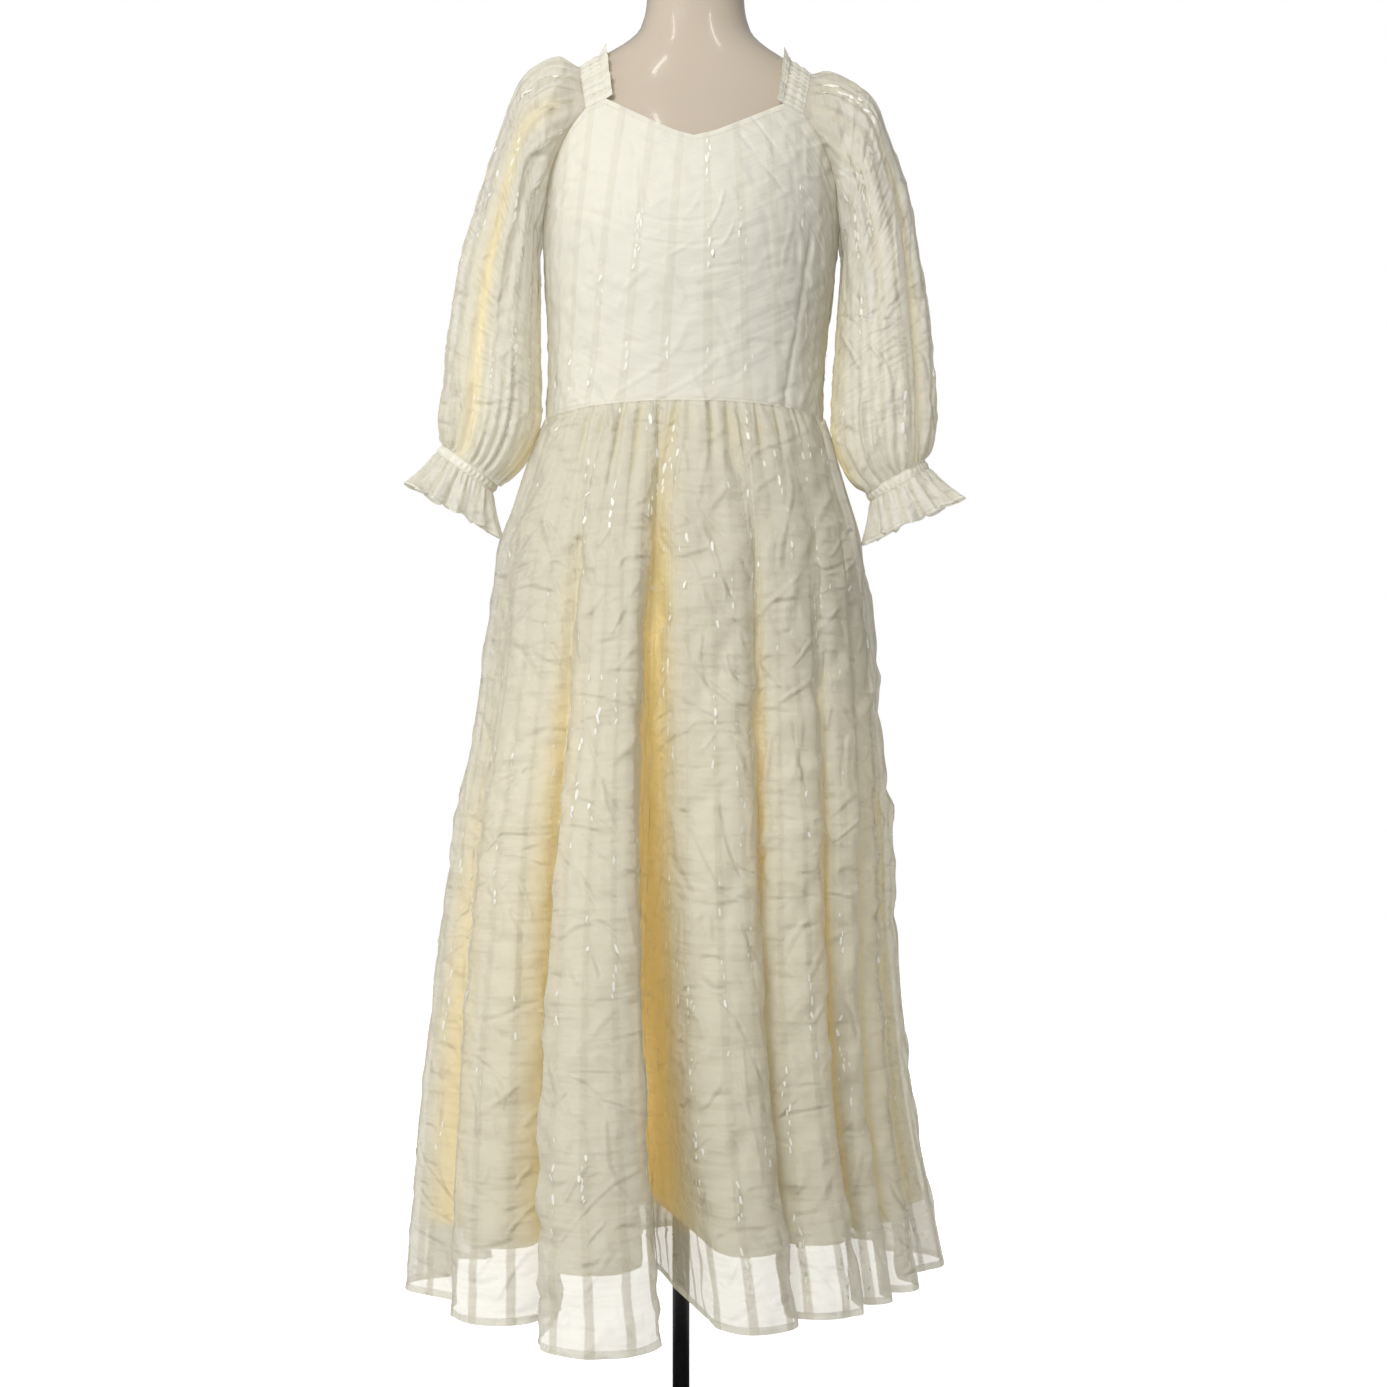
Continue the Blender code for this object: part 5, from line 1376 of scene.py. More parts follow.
def organza_material(name, coverage, cloth):
    """Crinkled organza with tonal woven stripes and a denser turned hem.

    Its threads are part diffuse cream and part light let through, and both take a painted yellow shade by
    the attribute fold, which is 1 at the bottom of a deep fold, where the cloth also has a faint painted
    glow.
    """
    sizes, colours = bpy.context.scene.dress_sizes, bpy.context.scene.dress_colours
    made, tree = new_material(name)
    u, v, stretched = cloth_place(tree)
    # Painted shade colour for the bottom of deep folds
    painted_gold = opaque(colours.fold)
    fold = node(tree, "ShaderNodeAttribute", attribute_name="fold").outputs["Fac"]
    stripe = maths(tree, "MULTIPLY", woven_stripes(tree, u, sizes), maths(tree, "SUBTRACT", 1.0, fold))
    hem = hem_mask(tree, v, sizes.hem_width)
    slub = noise(tree, stretched(60.0, 760.0), 1.0)
    threads = [maths(tree, "SINE", maths(tree, "MULTIPLY", along, 2 * math.pi / sizes.thread_pitch))
               for along in (u, v)]
    ground, slubs, stripes = [opaque(part, cloth.shade)
                              for part in (colours.organza, colours.crease, colours.stripe)]
    tone = maths(tree, "MULTIPLY", stripe, 0.40 + 1.4 * (1.0 - coverage))
    colour = mixed(tree, tone, mixed(tree, maths(tree, "MULTIPLY", slub, 0.35), ground, slubs), stripes)
    through = mixed(tree, tone, opaque(colours.let_through), opaque(colours.stripe, 0.86))
    height = organza_height(tree, object_place(tree), stretched, slub, stripe, threads, hem)
    normal = bumped(tree, height, cloth.crinkle, sizes.crinkle_depth)
    # Base and let-through colours turn to the painted shade by fold, and the emission is a painted glow in
    # the folds
    front = node(tree, "ShaderNodeBsdfPrincipled", {
        "Base Color": mixed(tree, fold, colour, painted_gold), "Normal": normal,
        "Roughness": maths(tree, "MULTIPLY_ADD", stripe, -STRIPE_GLOSS, ORGANZA_ROUGHNESS),
        "Sheen Weight": 0.2, "Sheen Roughness": 0.4,
        "Emission Color": painted_gold, "Emission Strength": maths(tree, "MULTIPLY", fold, PAINTED_FOLD_GLOW)})
    whole = blended(tree, cloth.translucence, front,
                    let_through(tree, mixed(tree, fold, through, painted_gold), normal))
    if coverage < 1.0:
        whole = with_gaps(tree, whole, coverage, stripe, hem, fold)
    return surfaced(made, whole)


def lining_material():
    """Plain satin-faced lining: warm cream with soft creases, and a painted yellow shade in its deep folds.
    """
    sizes, colours = bpy.context.scene.dress_sizes, bpy.context.scene.dress_colours
    made, tree = new_material("yellow cream lining")
    _, v, stretched = cloth_place(tree)
    fold = node(tree, "ShaderNodeAttribute", attribute_name="fold").outputs["Fac"]
    crease = noise(tree, object_place(tree), 22.0)
    threads = noise(tree, stretched(900.0, 1600.0), 1.0)
    # Painted shade in the deep folds, by the attribute fold
    colour = mixed(tree, fold, opaque(colours.lining), opaque(colours.fold))
    colour = mixed(tree, maths(tree, "MULTIPLY", threads, 0.2), colour, opaque(colours.lining_shade))
    height = layered(tree, ((threads, 0.06), (crease, 1.5), (hem_mask(tree, v, sizes.hem_width), 0.5)))
    normal = bumped(tree, height, 0.6, sizes.crinkle_depth)
    front = node(tree, "ShaderNodeBsdfPrincipled", {
        "Base Color": colour, "Roughness": maths(tree, "MULTIPLY_ADD", threads, 0.2, 0.45),
        "Normal": normal, "Sheen Weight": 0.3})
    light = let_through(tree, opaque(colours.let_through), normal)
    return surfaced(made, blended(tree, LINING_TRANSLUCENCE, front, light))


def hard_material(name, colour):
    """Hard finish on Object coordinates: two close colours in a soft mottle, uneven gloss and bump."""
    finish = FINISHES[name]
    made, tree = new_material(name)
    place = object_place(tree)
    mottle = noise(tree, place, finish.scale, 4.0)
    grain = noise(tree, place, finish.scale * 14, 2.0)
    tone = mixed(tree, band_mask(tree, mottle, 0.3, 0.7), opaque(colour), opaque(colour, finish.shade))
    gloss = maths(tree, "MULTIPLY_ADD", grain, finish.spread, finish.rough - finish.spread / 2)
    normal = bumped(tree, maths(tree, "ADD", mottle, grain), 0.5, finish.depth)
    return surfaced(made, node(tree, "ShaderNodeBsdfPrincipled", {
        "Base Color": tone, "Roughness": gloss, "Metallic": finish.metallic, "Coat Weight": finish.coat,
        "Coat Roughness": 0.06, "Normal": normal}))


def thread_material(name, colour, gloss):
    """Sewing thread, tape or coil: fine twist across Object coordinates."""
    made, tree = new_material(name)
    twist = noise(tree, object_place(tree), 2200.0)
    return surfaced(made, node(tree, "ShaderNodeBsdfPrincipled", {
        "Base Color": mixed(tree, twist, opaque(colour, 0.86), opaque(colour)), "Roughness": gloss,
        "Sheen Weight": 0.2, "Normal": bumped(tree, twist, 0.4, 0.0001)}))


def fleck_material():
    """Thin metallic flecks: silver with a drift to pale gold from place to place."""
    colours = bpy.context.scene.dress_colours
    made, tree = new_material("metallic flecks")
    place = object_place(tree)
    drift = band_mask(tree, noise(tree, place, 140.0), 0.35, 0.55)
    return surfaced(made, node(tree, "ShaderNodeBsdfPrincipled", {
        "Base Color": mixed(tree, drift, opaque(colours.fleck_cool), opaque(colours.fleck)),
        "Metallic": 0.15, "Roughness": band_mask(tree, noise(tree, place, 3000.0), -1.2, 3.2)}))


def shared_organza(name, coverage, cloth):
    """The organza of that name, made on its first use."""
    return bpy.data.materials.get(name) or organza_material(name, coverage, cloth)


def sheer_organza():
    """Single organza of the skirt, sleeves and ruffles."""
    return shared_organza("sheer organza", bpy.context.scene.dress_sizes.coverage, SHEER)


def backed_organza():
    """Organza sewn over a plain cream backing, as on the bodice and the bands."""
    return shared_organza("backed organza", 1.0, BACKED)


def metres(name, description, default):
    """Length property in metres."""
    return bpy.props.FloatProperty(name=name, description=description, default=default, min=0.0,
                                   unit="LENGTH", subtype="DISTANCE", precision=4)


def watts(name, description, default):
    """Power property."""
    return bpy.props.FloatProperty(name=name, description=description, default=default, min=0.0,
                                   unit="POWER")


def strength(name, description, default):
    """Property without a unit."""
    return bpy.props.FloatProperty(name=name, description=description, default=default, min=0.0)


def colour(name, description, default):
    """Colour property, in linear values."""
    return bpy.props.FloatVectorProperty(name=name, description=description, default=default, size=3,
                                         min=0.0, max=1.0, subtype="COLOR")


class DressSizes(bpy.types.PropertyGroup):
    """Sizes of what is woven and sewn into the cloth."""
    stripe_pitch: metres("Stripe pitch", "Distance between the woven stripes", 0.036)
    stripe_width: metres("Stripe width", "Width of a woven stripe", 0.0088)
    hem_width: metres("Hem width", "Width of the turned hems and edges", 0.0075)
    thread_pitch: metres("Thread pitch", "Distance between the organza's threads", 0.0006)
    crinkle_depth: metres("Crinkle depth", "Height of the crinkles in the cloth", 0.0016)
    stitch_length: metres("Stitch length", "Length from one stitch to the next", 0.0030)
    fleck_length: metres("Fleck length", "Length of a metallic fleck", 0.0105)
    fleck_width: metres("Fleck width", "Width of a metallic fleck", 0.0034)
    fleck_runs: bpy.props.IntProperty(name="Fleck runs", description="Runs of flecks on a square metre",
                                      default=260, min=0)
    coverage: bpy.props.FloatProperty(name="Coverage", description="Share of light the organza stops",
                                      default=0.68, min=0.0, max=1.0, subtype="FACTOR")


class DressColours(bpy.types.PropertyGroup):
    """Colours of the cloth, the form and the stand."""
    organza: colour("Organza", "Ground of the organza", (0.88, 0.86, 0.75))
    crease: colour("Slub", "Thicker threads across the organza", (0.82, 0.79, 0.66))
    stripe: colour("Stripe", "Woven stripes", (0.76, 0.72, 0.58))
    # Painted shade: this deep yellow stands in for shade and for light let through the layers at the bottom
    # of deep folds and on the sleeves' sides towards the bodice
    fold: colour("Deep fold", "Cloth at the bottom of a deep fold", (0.98, 0.83, 0.43))
    let_through: colour("Light let through", "Light that comes through the cloth", (0.90, 0.87, 0.77))
    lining: colour("Lining", "Lining on its ridges", (0.93, 0.89, 0.73))
    lining_shade: colour("Lining shade", "Darker threads of the lining", (0.84, 0.76, 0.55))
    form: colour("Form", "Glossy plastic of the form", (0.50, 0.425, 0.335))
    stand: colour("Stand", "Pole and base", (0.010, 0.010, 0.011))
    fleck: colour("Fleck", "Warm metallic flecks", (0.86, 0.84, 0.74))
    fleck_cool: colour("Cool fleck", "Cool metallic flecks", (0.86, 0.86, 0.81))
    thread: colour("Thread", "Sewing thread and zip", (0.86, 0.81, 0.68))


class StageSettings(bpy.types.PropertyGroup):
    """Camera, lights and floor."""
    camera_distance: metres("Camera distance", "From the camera to the pole", 2.7)
    camera_height: metres("Camera height", "Above the floor", 0.813)
    lens: bpy.props.FloatProperty(name="Lens", description="Focal length in millimetres", default=65.5,
                                  min=1.0)
    key_power: watts("Key light", "Power of the large front light", 26.0)
    fill_power: watts("Fill light", "Power of the light on the left", 13.0)
    back_power: watts("Back light", "Power of the light behind the dress", 34.0)
    inner_power: watts("Inner light", "Power of each lamp inside the skirt", 0.30)
    strip_glow: strength("Strip light", "Watts on a square metre of narrow light", 34.0)
    floor_glow: strength("Floor glow", "Light that the floor gives off", 0.17)
    sky: strength("Sky", "Strength of the light from all round", 0.33)
    floor: colour("Floor", "Plain pale floor", (0.60, 0.60, 0.60))


class DRESS_OT_form(bpy.types.Operator):
    """Glossy limbless torso, a smooth loft of the solid's sections"""
    bl_idname = "dress.form"
    bl_label = "Dress form"

    def execute(self, context):
        table = np.array(FORM_SECTIONS)
        rim, top = table[-2:, 0]
        z = np.concatenate([np.linspace(table[0, 0], rim, FORM_STEPS), [top - 0.002, top]])
        inset = np.zeros(len(z))
        inset[-1] = FORM_RIM_INSET
        turns = np.linspace(0.0, 2 * math.pi, FORM_STEPS, endpoint=False)
        straight = [np.interp(z, table[:, 0], table[:, k]) for k in (1, 2, 3)]
        sizes = np.where(z > rim, straight, smooth_rows(z, FORM_SECTIONS).T)
        x, y = ring_point(*[(size - inset)[:, None] for size in sizes], turns[None, :])
        rings = np.stack([x, y, np.broadcast_to(z[:, None], x.shape)], axis=-1)
        cap = [rings[-1:] * (share, share, 1.0) for share in (0.96, 0.6, 0.02)]
        underside = [rings[:1] * (share, share, 1.0) for share in (0.02, 0.6, 0.96)]
        points = lean(np.concatenate(underside + [rings] + cap))
        finish = hard_material("glossy form", context.scene.dress_colours.form)
        across = np.linspace(0.0, 1.0, len(turns) + 1)
        piece = sheet_object("form_shell", points, across, points[:, 0, 2], finish,
                             closed=True)
        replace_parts(piece, "form_torso")
        return {"FINISHED"}


def turned(name, profile, segments, finish):
    """Surface of revolution about Z: each profile point (radius, height) is carried round a circle."""
    turns = np.linspace(0.0, 2 * math.pi, segments, endpoint=False)
    radius, height = np.array(profile).T
    points = np.stack([radius[:, None] * np.cos(turns), radius[:, None] * np.sin(turns),
                       np.broadcast_to(height[:, None], (len(radius), segments))], axis=-1)
    middle = np.array((0.0, 0.0, height.mean()))
    return sheet_object(name, points, np.linspace(0.0, 1.0, segments + 1), height, finish,
                        closed=True, inside=middle)


class DRESS_OT_stand(bpy.types.Operator):
    """Pole with its flange, and the round base with rounded rims"""
    bl_idname = "dress.stand"
    bl_label = "Stand"

    def execute(self, context):
        finish = hard_material("satin black", context.scene.dress_colours.stand)
        top = FORM_BOTTOM_Z - SEAM_GAP
        flange_z = top - FLANGE_THICKNESS
        pole = [(AXIS_RADIUS, HUB_TOP_Z + SEAM_GAP)]
        pole += [(POLE_RADIUS, z) for z in (HUB_TOP_Z + SEAM_GAP, 0.3, 0.5)]
        pole += [(POLE_RADIUS * (1 + share), top - FLANGE_THICKNESS * (3 - 2 * share))
                 for share in np.linspace(0.0, 1.0, 6)]
        pole += [(FLANGE_RADIUS - 0.001, flange_z), (FLANGE_RADIUS, flange_z + 0.001),
                 (FLANGE_RADIUS, top), (AXIS_RADIUS, top)]
        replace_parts(turned("pole_and_flange", pole, 72, finish), "stand_pole")
        base = [(AXIS_RADIUS, 0.0), (BASE_RADIUS - 0.002, 0.0), (BASE_RADIUS - 0.0006, 0.0006),
                (BASE_RADIUS, 0.002)]
        base += [(BASE_RADIUS + RIM_ROUND * (math.sin(turn) - 1),
                  BASE_THICKNESS + RIM_ROUND * (math.cos(turn) - 1))
                 for turn in np.linspace(math.pi / 2, 0.0, 7)]
        base += [(HUB_RADIUS + 0.004, BASE_THICKNESS), (HUB_RADIUS + 0.0012, BASE_THICKNESS + 0.0012),
                 (HUB_RADIUS, BASE_THICKNESS + 0.004), (HUB_RADIUS - 0.0035, HUB_TOP_Z - 0.001),
                 (HUB_RADIUS - 0.0045, HUB_TOP_Z), (AXIS_RADIUS, HUB_TOP_Z)]
        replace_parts(turned("base_and_hub", base, 120, finish), "stand_base")
        return {"FINISHED"}


def panels(points, across, seam, middle, gap):
    """Front, right back and left back of a closed ring, and the columns of each.

    The ring goes from the left side seam round the front to the column of the right one, and the
    backs part for the zip at the middle column.
    """
    for name, first, last, edge, direction in (("front", 0, seam, None, 0.0),
                                               ("back_right", seam, middle, -1, 1.0),
                                               ("back_left", middle, points.shape[1], 0, -1.0)):
        panel, panel_across = ring_part(points, across, first, last)
        if edge is not None:
            panel = parted(panel, edge, direction, gap)
        yield name, panel, panel_across, np.arange(first, last + 1) % points.shape[1]


def bodice_panels():
    """Front and back panels of the bodice: name, points and distance across."""
    points, across, quarter = bodice_grid()
    gap = np.full(len(points), ZIP_HALF_WIDTH + SEAM_GAP)
    for name, panel, panel_across, _ in panels(points, across, 2 * quarter, 3 * quarter, gap):
        yield "bodice_" + name, panel, panel_across


def cut_of(name):
    """Name of a panel's cut, which both backs share."""
    return name.replace("_left", "").replace("_right", "")


class DRESS_OT_bodice(bpy.types.Operator):
    """Fitted bodice: darted front, two backs beside the zip, faced neck edge"""
    bl_idname = "dress.bodice"
    bl_label = "Bodice"

    def execute(self, context):
        for name, points, across in bodice_panels():
            below_edge = points[-1:, :, 2] - points[..., 2]
            piece = sheet_object("organza_" + name, points, across, below_edge, backed_organza(),
                                 inside=BODICE_INSIDE)
            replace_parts(piece, name)
            declared(cut_of(name), ["form_torso"])
        return {"FINISHED"}


class DRESS_OT_shoulder_bands(bpy.types.Operator):
    """Shirred shoulder bands with their waving headers"""
    bl_idname = "dress.shoulder_bands"
    bl_label = "Shoulder bands"

    def execute(self, context):
        for side in SIDES:
            points, along, up = band_grid(side)
            piece = sheet_object("shirred_band_" + side.name, points, along, up, backed_organza(),
                                 inside=band_middle(side))
            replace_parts(piece, "shoulder_band_" + side.name)
            declared("shoulder_band", ["form_torso"])
        return {"FINISHED"}


class DRESS_OT_sleeves(bpy.types.Operator):
    """Puffed sleeves, gathered over the shoulder and into the cuff"""
    bl_idname = "dress.sleeves"
    bl_label = "Sleeves"

    def execute(self, context):
        for side in SIDES:
            # fold holds the painted shade of the sleeve's folds and of its side towards the bodice
            points, across, above, fold = sleeve_grid(side)
            piece = sheet_object("organza_sleeve_" + side.name, points, across, above + SLEEVE_UP,
                                 sheer_organza(), closed=True, fold=fold)
            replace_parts(piece, "sleeve_" + side.name)
            declared("sleeve", ["shirred_band_" + side.name])
        return {"FINISHED"}


class DRESS_OT_cuffs(bpy.types.Operator):
    """Shirred cuff bands and the ruffles that flare below them"""
    bl_idname = "dress.cuffs"
    bl_label = "Cuffs"

    def execute(self, context):
        for side in SIDES:
            band, ruffle = cuff_grids(side)
            across = np.linspace(0.0, CUTS["cuff_band"].width, CUFF_FINE_COLUMNS + 1)
            piece = sheet_object("shirred_cuff_" + side.name, band, across,
                                 np.linspace(*CUFF_UP, CUFF_FINE_ROWS), backed_organza(),
                                 closed=True)
            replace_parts(piece, "cuff_band_" + side.name)
            declared("cuff_band", ["organza_sleeve_" + side.name])
            piece = sheet_object("cuff_frill_" + side.name, ruffle, across * RUFFLE_SPREAD,
                                 np.linspace(*RUFFLE_UP, RUFFLE_FINE_ROWS) + RUFFLE_HEM_SHIFT,
                                 sheer_organza(), closed=True)
            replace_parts(piece, "cuff_ruffle_" + side.name)
            declared("cuff_ruffle", ["shirred_cuff_" + side.name])
        return {"FINISHED"}


def skirt_painted_shade(points, below_waist):
    """Painted yellow shade of each point of the skirt, standing in for shade and for light let through the
    layers: at the bottom of its folds, most round the deep fold in front, half as much at the waist, and not
    below the lining's edge."""
    full = 0.005 + 0.011 * ease(below_waist / 0.25)[:, None]
    painted_skirt_shade = FOLD_PAINTED_SHADE * fold_depth(points, PAINTED_SHADE_REACHES, full, SKIRT_INSIDE)
    painted_skirt_shade = np.maximum(painted_skirt_shade, lobe_depth(points, 4 * SKIRT_STEPS))
    column = np.arange(points.shape[1]) / SKIRT_STEPS
    painted_skirt_shade = painted_skirt_shade * (0.5 + 0.5 * bell((column - DEEP_VALLEY_COLUMN) / PAINTED_SHADE_COLUMNS))
    painted_skirt_shade = painted_skirt_shade * (0.5 + 0.5 * ease((below_waist - 0.06) / 0.22))[:, None]
    return painted_skirt_shade * ease((LINING_SHARE * (WAIST_Z - HEM_Z) - below_waist) / 0.010)[:, None]


class DRESS_OT_skirt(bpy.types.Operator):
    """Gathered organza skirt: one front and two backs that part for the zip"""
    bl_idname = "dress.skirt"
    bl_label = "Skirt"

    def execute(self, context):
        points, across, above_hem = finished_skirt()
        seam, middle = FRONT_LOBES * COLUMNS_PER_LOBE * SKIRT_STEPS, ZIP_COLUMN * SKIRT_STEPS
        length = WAIST_Z - HEM_Z
        # Painted shade in the skirt's folds, kept as the attribute fold
        fold = skirt_painted_shade(points, length - above_hem)
        above_zip_end = 1 - ease((length - above_hem) / length / ZIP_END_SHARE * 8 - 7)
        gap = (ZIP_HALF_WIDTH + SEAM_GAP) * above_zip_end
        for name, panel, panel_across, columns in panels(points, across, seam, middle, gap):
            piece = sheet_object("organza_skirt_" + name, panel, panel_across, above_hem, sheer_organza(),
                                 inside=SKIRT_INSIDE, fold=fold[:, columns])
            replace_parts(piece, "skirt_" + name)
            declared(cut_of("skirt_" + name), ["organza_bodice_" + name])
        return {"FINISHED"}


class DRESS_OT_lining(bpy.types.Operator):
    """Shorter skirt lining, front and back"""
    bl_idname = "dress.lining"
    bl_label = "Lining"

    def execute(self, context):
        points, across, above_hem = finished_lining()
        seam = FRONT_LOBES * COLUMNS_PER_LOBE * LINING_STEPS
        finish = lining_material()
        whole = points.shape[1]
        # Painted shade in the lining's deep folds, kept as the attribute fold
        fold = lobe_depth(points, 4 * LINING_STEPS)
        backs = ["organza_bodice_back_left", "organza_bodice_back_right"]
        for name, first, last, bodices in (("lining_front", 0, seam, ["organza_bodice_front"]),
                                           ("lining_back", seam, whole, backs)):
            panel, panel_across = ring_part(points, across, first, last)
            piece = sheet_object("satin_" + name, panel, panel_across, above_hem, finish,
                                 inside=SKIRT_INSIDE, fold=fold[:, np.arange(first, last + 1) % whole])
            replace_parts(piece, name)
            declared(name, bodices)
        return {"FINISHED"}


class DRESS_OT_zip(bpy.types.Operator):
    """Hidden zip: tape, coil of teeth, and the enamel of the slider and its pull"""
    bl_idname = "dress.zip"
    bl_label = "Zip"

    def execute(self, context):
        colours = context.scene.dress_colours
        tape_finish = thread_material("zip tape", colours.thread, 0.7)
        coil_finish = thread_material("zip coil", [part * 0.94 for part in colours.thread], 0.35)
        line = centre_back_line()
        across = np.linspace(-1.0, 1.0, 7) * ZIP_HALF_WIDTH
        sink = ZIP_SINK + 0.0006 + 0.0002 * np.cos(across / ZIP_HALF_WIDTH * math.pi)
        points = line[:, None, :] + np.stack([across, -sink, np.zeros(7)], axis=-1)[None]
        length = path_length(line)
        tape = sheet_object("zip_tape", points, across, length + 0.05, tape_finish,
                            inside=SKIRT_INSIDE)
        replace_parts(tape, "zip_chain")
        normals = unit(np.gradient(line, axis=0)[:, (0, 2, 1)] * (1.0, 1.0, -1.0))
        places, frames = stitch_frames(line, normals, ZIP_TOOTH_PITCH)
        side = np.where(np.arange(len(places)) % 2 == 0, 1.0, -1.0)[:, None]
        places = places + frames[:, 0] * side * TOOTH_ASIDE - frames[:, 2] * TOOTH_SINK
        sizes = np.broadcast_to(TOOTH_SIZE, (len(places), 3))
        scattered("zip_teeth", BEAD, BEAD_FACES, places, frames, sizes, coil_finish)
        enamel = hard_material("cream enamel", colours.thread)
        for solid in ("zip_slider", "zip_pull"):
            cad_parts[solid].data.materials.clear()
            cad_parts[solid].data.materials.append(enamel)
        return {"FINISHED"}


def nearest(values, value):
    """Number of the row whose value is nearest."""
    return int(np.argmin(np.abs(values - value)))


def stitched_rows():
    """Every visible row of stitches at the neck, waist, hems, bands and cuffs: the sheet's points,
    whether it is closed, the row, a point inside it and how far outside the cloth the thread lies."""
    for _, points, _ in bodice_panels():
        below_edge = points[-1, :, 2].mean() - points[:, :, 2].mean(axis=1)
        yield points, False, nearest(below_edge, NECK_STITCH), BODICE_INSIDE, THREAD_OUT
        yield points, False, 1, BODICE_INSIDE, THREAD_OUT
    skirt, _, above_hem = finished_skirt()
    yield skirt, True, 1, SKIRT_INSIDE, THREAD_OUT
    yield skirt, True, nearest(above_hem, HEM_STITCH), SKIRT_INSIDE, THREAD_OUT
    lining, _, above_hem = finished_lining()
    yield lining, True, nearest(above_hem, LINING_STITCH), SKIRT_INSIDE, THREAD_OUT
    for side in SIDES:
        points, _, _ = band_grid(side)
        across = np.linspace(-1.0, 1.0, BAND_FINE_ROWS)
        for share in BAND_STITCH_ROWS:
            yield points, False, nearest(across, share), band_middle(side), THREAD_OUT
        band, ruffle = cuff_grids(side)
        for share in CUFF_STITCH_ROWS:
            row = int(round(share * (CUFF_FINE_ROWS - 1)))
            yield band, True, row, band.reshape(-1, 3).mean(axis=0), THREAD_OUT
        yield ruffle, True, RUFFLE_FINE_ROWS - 2, ruffle.reshape(-1, 3).mean(axis=0), THREAD_OUT / 2


def stitches_along(points, closed, row, inside, outward, pitch):
    """Places and frames of the stitches on one row of a sheet."""
    normals = grid_normals(points, closed, np.array(inside))[row]
    path = points[row]
    if closed:
        path, normals = np.concatenate([path, path[:1]]), np.concatenate([normals, normals[:1]])
    return stitch_frames(path + normals * outward, normals, pitch)


class DRESS_OT_stitching(bpy.types.Operator):
    """Stitches along the neck, waist, hems, shoulder bands and cuffs"""
    bl_idname = "dress.stitching"
    bl_label = "Stitching"

    def execute(self, context):
        pitch = context.scene.dress_sizes.stitch_length
        found = [stitches_along(*row, pitch) for row in stitched_rows()]
        places, frames = [np.concatenate(parts) for parts in zip(*found)]
        sizes = np.broadcast_to((THREAD_HALF_WIDTH, pitch * 0.40, THREAD_OUT), (len(places), 3))
        finish = thread_material("sewing thread", context.scene.dress_colours.thread, 0.5)
        scattered("stitches", BEAD, BEAD_FACES, places, frames, sizes, finish)
        return {"FINISHED"}


def run_places(random, across, up):
    """U and V of the flecks of a sheet: runs start anywhere along the stripes."""
    sizes = bpy.context.scene.dress_sizes
    low, high = min(up[0], up[-1]), max(up[0], up[-1])
    runs = max(int(sizes.fleck_runs * (across[-1] - across[0]) * (high - low)), 1)
    stripes = np.arange(math.ceil(across[0] / sizes.stripe_pitch - 0.5),
                        math.floor(across[-1] / sizes.stripe_pitch - 0.5) + 1)
    stripe = (random.choice(stripes, runs) + 0.5) * sizes.stripe_pitch
    start = low + random.random(runs) * (high - low)
    shape = (runs, RUN_LENGTH)
    u = (stripe[:, None] + random.normal(0.0, STRAY_ACROSS, shape)).ravel()
    run = np.arange(RUN_LENGTH) * RUN_PITCH
    v = (start[:, None] + run + random.normal(0.0, STRAY_ALONG, shape)).ravel()
    inner = (v > low + CLEAR_BELOW) & (v < high - CLEAR_ABOVE)
    inner &= (u > across[0] + CLEAR_BESIDE) & (u < across[-1] - CLEAR_BESIDE)
    return u[inner], v[inner]


def between(points, row, column):
    """Points of a grid at rows and columns that aren't whole, from the four grid points round each."""
    row = np.clip(row, 0, points.shape[0] - 1.001)
    column = np.clip(column, 0, points.shape[1] - 1.001)
    r, c = row.astype(int), column.astype(int)
    s, t = (column - c)[:, None], (row - r)[:, None]
    low = points[r, c] * (1 - s) + points[r, c + 1] * s
    high = points[r + 1, c] * (1 - s) + points[r + 1, c + 1] * s
    return low * (1 - t) + high * t


def tilted_frames(random, right, along, normal):
    """The cloth's directions at each fleck, tilted a little at random."""
    tilt = random.normal(0.0, FLECK_TILT, (3, len(normal), 1))
    along = unit(along + right * tilt[0] + normal * tilt[1])
    normal = unit(normal + right * tilt[2])
    right = unit(np.cross(along, normal))
    return right, along, np.cross(right, along)


def fleck_places(points, across, up, inside, closed, seed):
    """Flecks in short runs along the stripes of a sheet: places, frames and sizes.

    U and V are turned into the grid's column and row. Where the cloth is gathered, only the share of
    its width that is left keeps its flecks.
    """
    sizes = bpy.context.scene.dress_sizes
    random = np.random.default_rng(seed)
    if closed:
        points = np.concatenate([points, points[:, :1]], axis=1)
    rows, columns = np.arange(points.shape[0]), np.arange(points.shape[1])
    u, v = run_places(random, across, up)
    order = np.argsort(up)
    row, column = np.interp(v, up[order], rows[order]), np.interp(u, across, columns)
    girth = np.linalg.norm(np.diff(points, axis=1), axis=-1).sum(axis=1)
    kept = random.random(len(u)) < np.interp(row, rows, girth) / (across[-1] - across[0])
    row, column = row[kept], column[kept]
    along = unit(between(points, row + 0.5, column) - between(points, row - 0.5, column))
    right = unit(between(points, row, column + 0.5) - between(points, row, column - 0.5))
    normal = unit(np.cross(right, along))
    near = grid_normals(points, False, np.array(inside))[row.astype(int), column.astype(int)]
    normal = normal * np.sign(np.sum(normal * near, axis=-1, keepdims=True))
    right, along, normal = tilted_frames(random, right, along, normal)
    scale = random.uniform(*FLECK_SCALES, (len(row), 1))
    size = scale * (sizes.fleck_width / 2, sizes.fleck_length / 2, FLECK_HALF_HEIGHT)
    place = between(points, row, column) + normal * FLECK_LIFT
    return place, np.stack([right, along, normal], axis=1), size


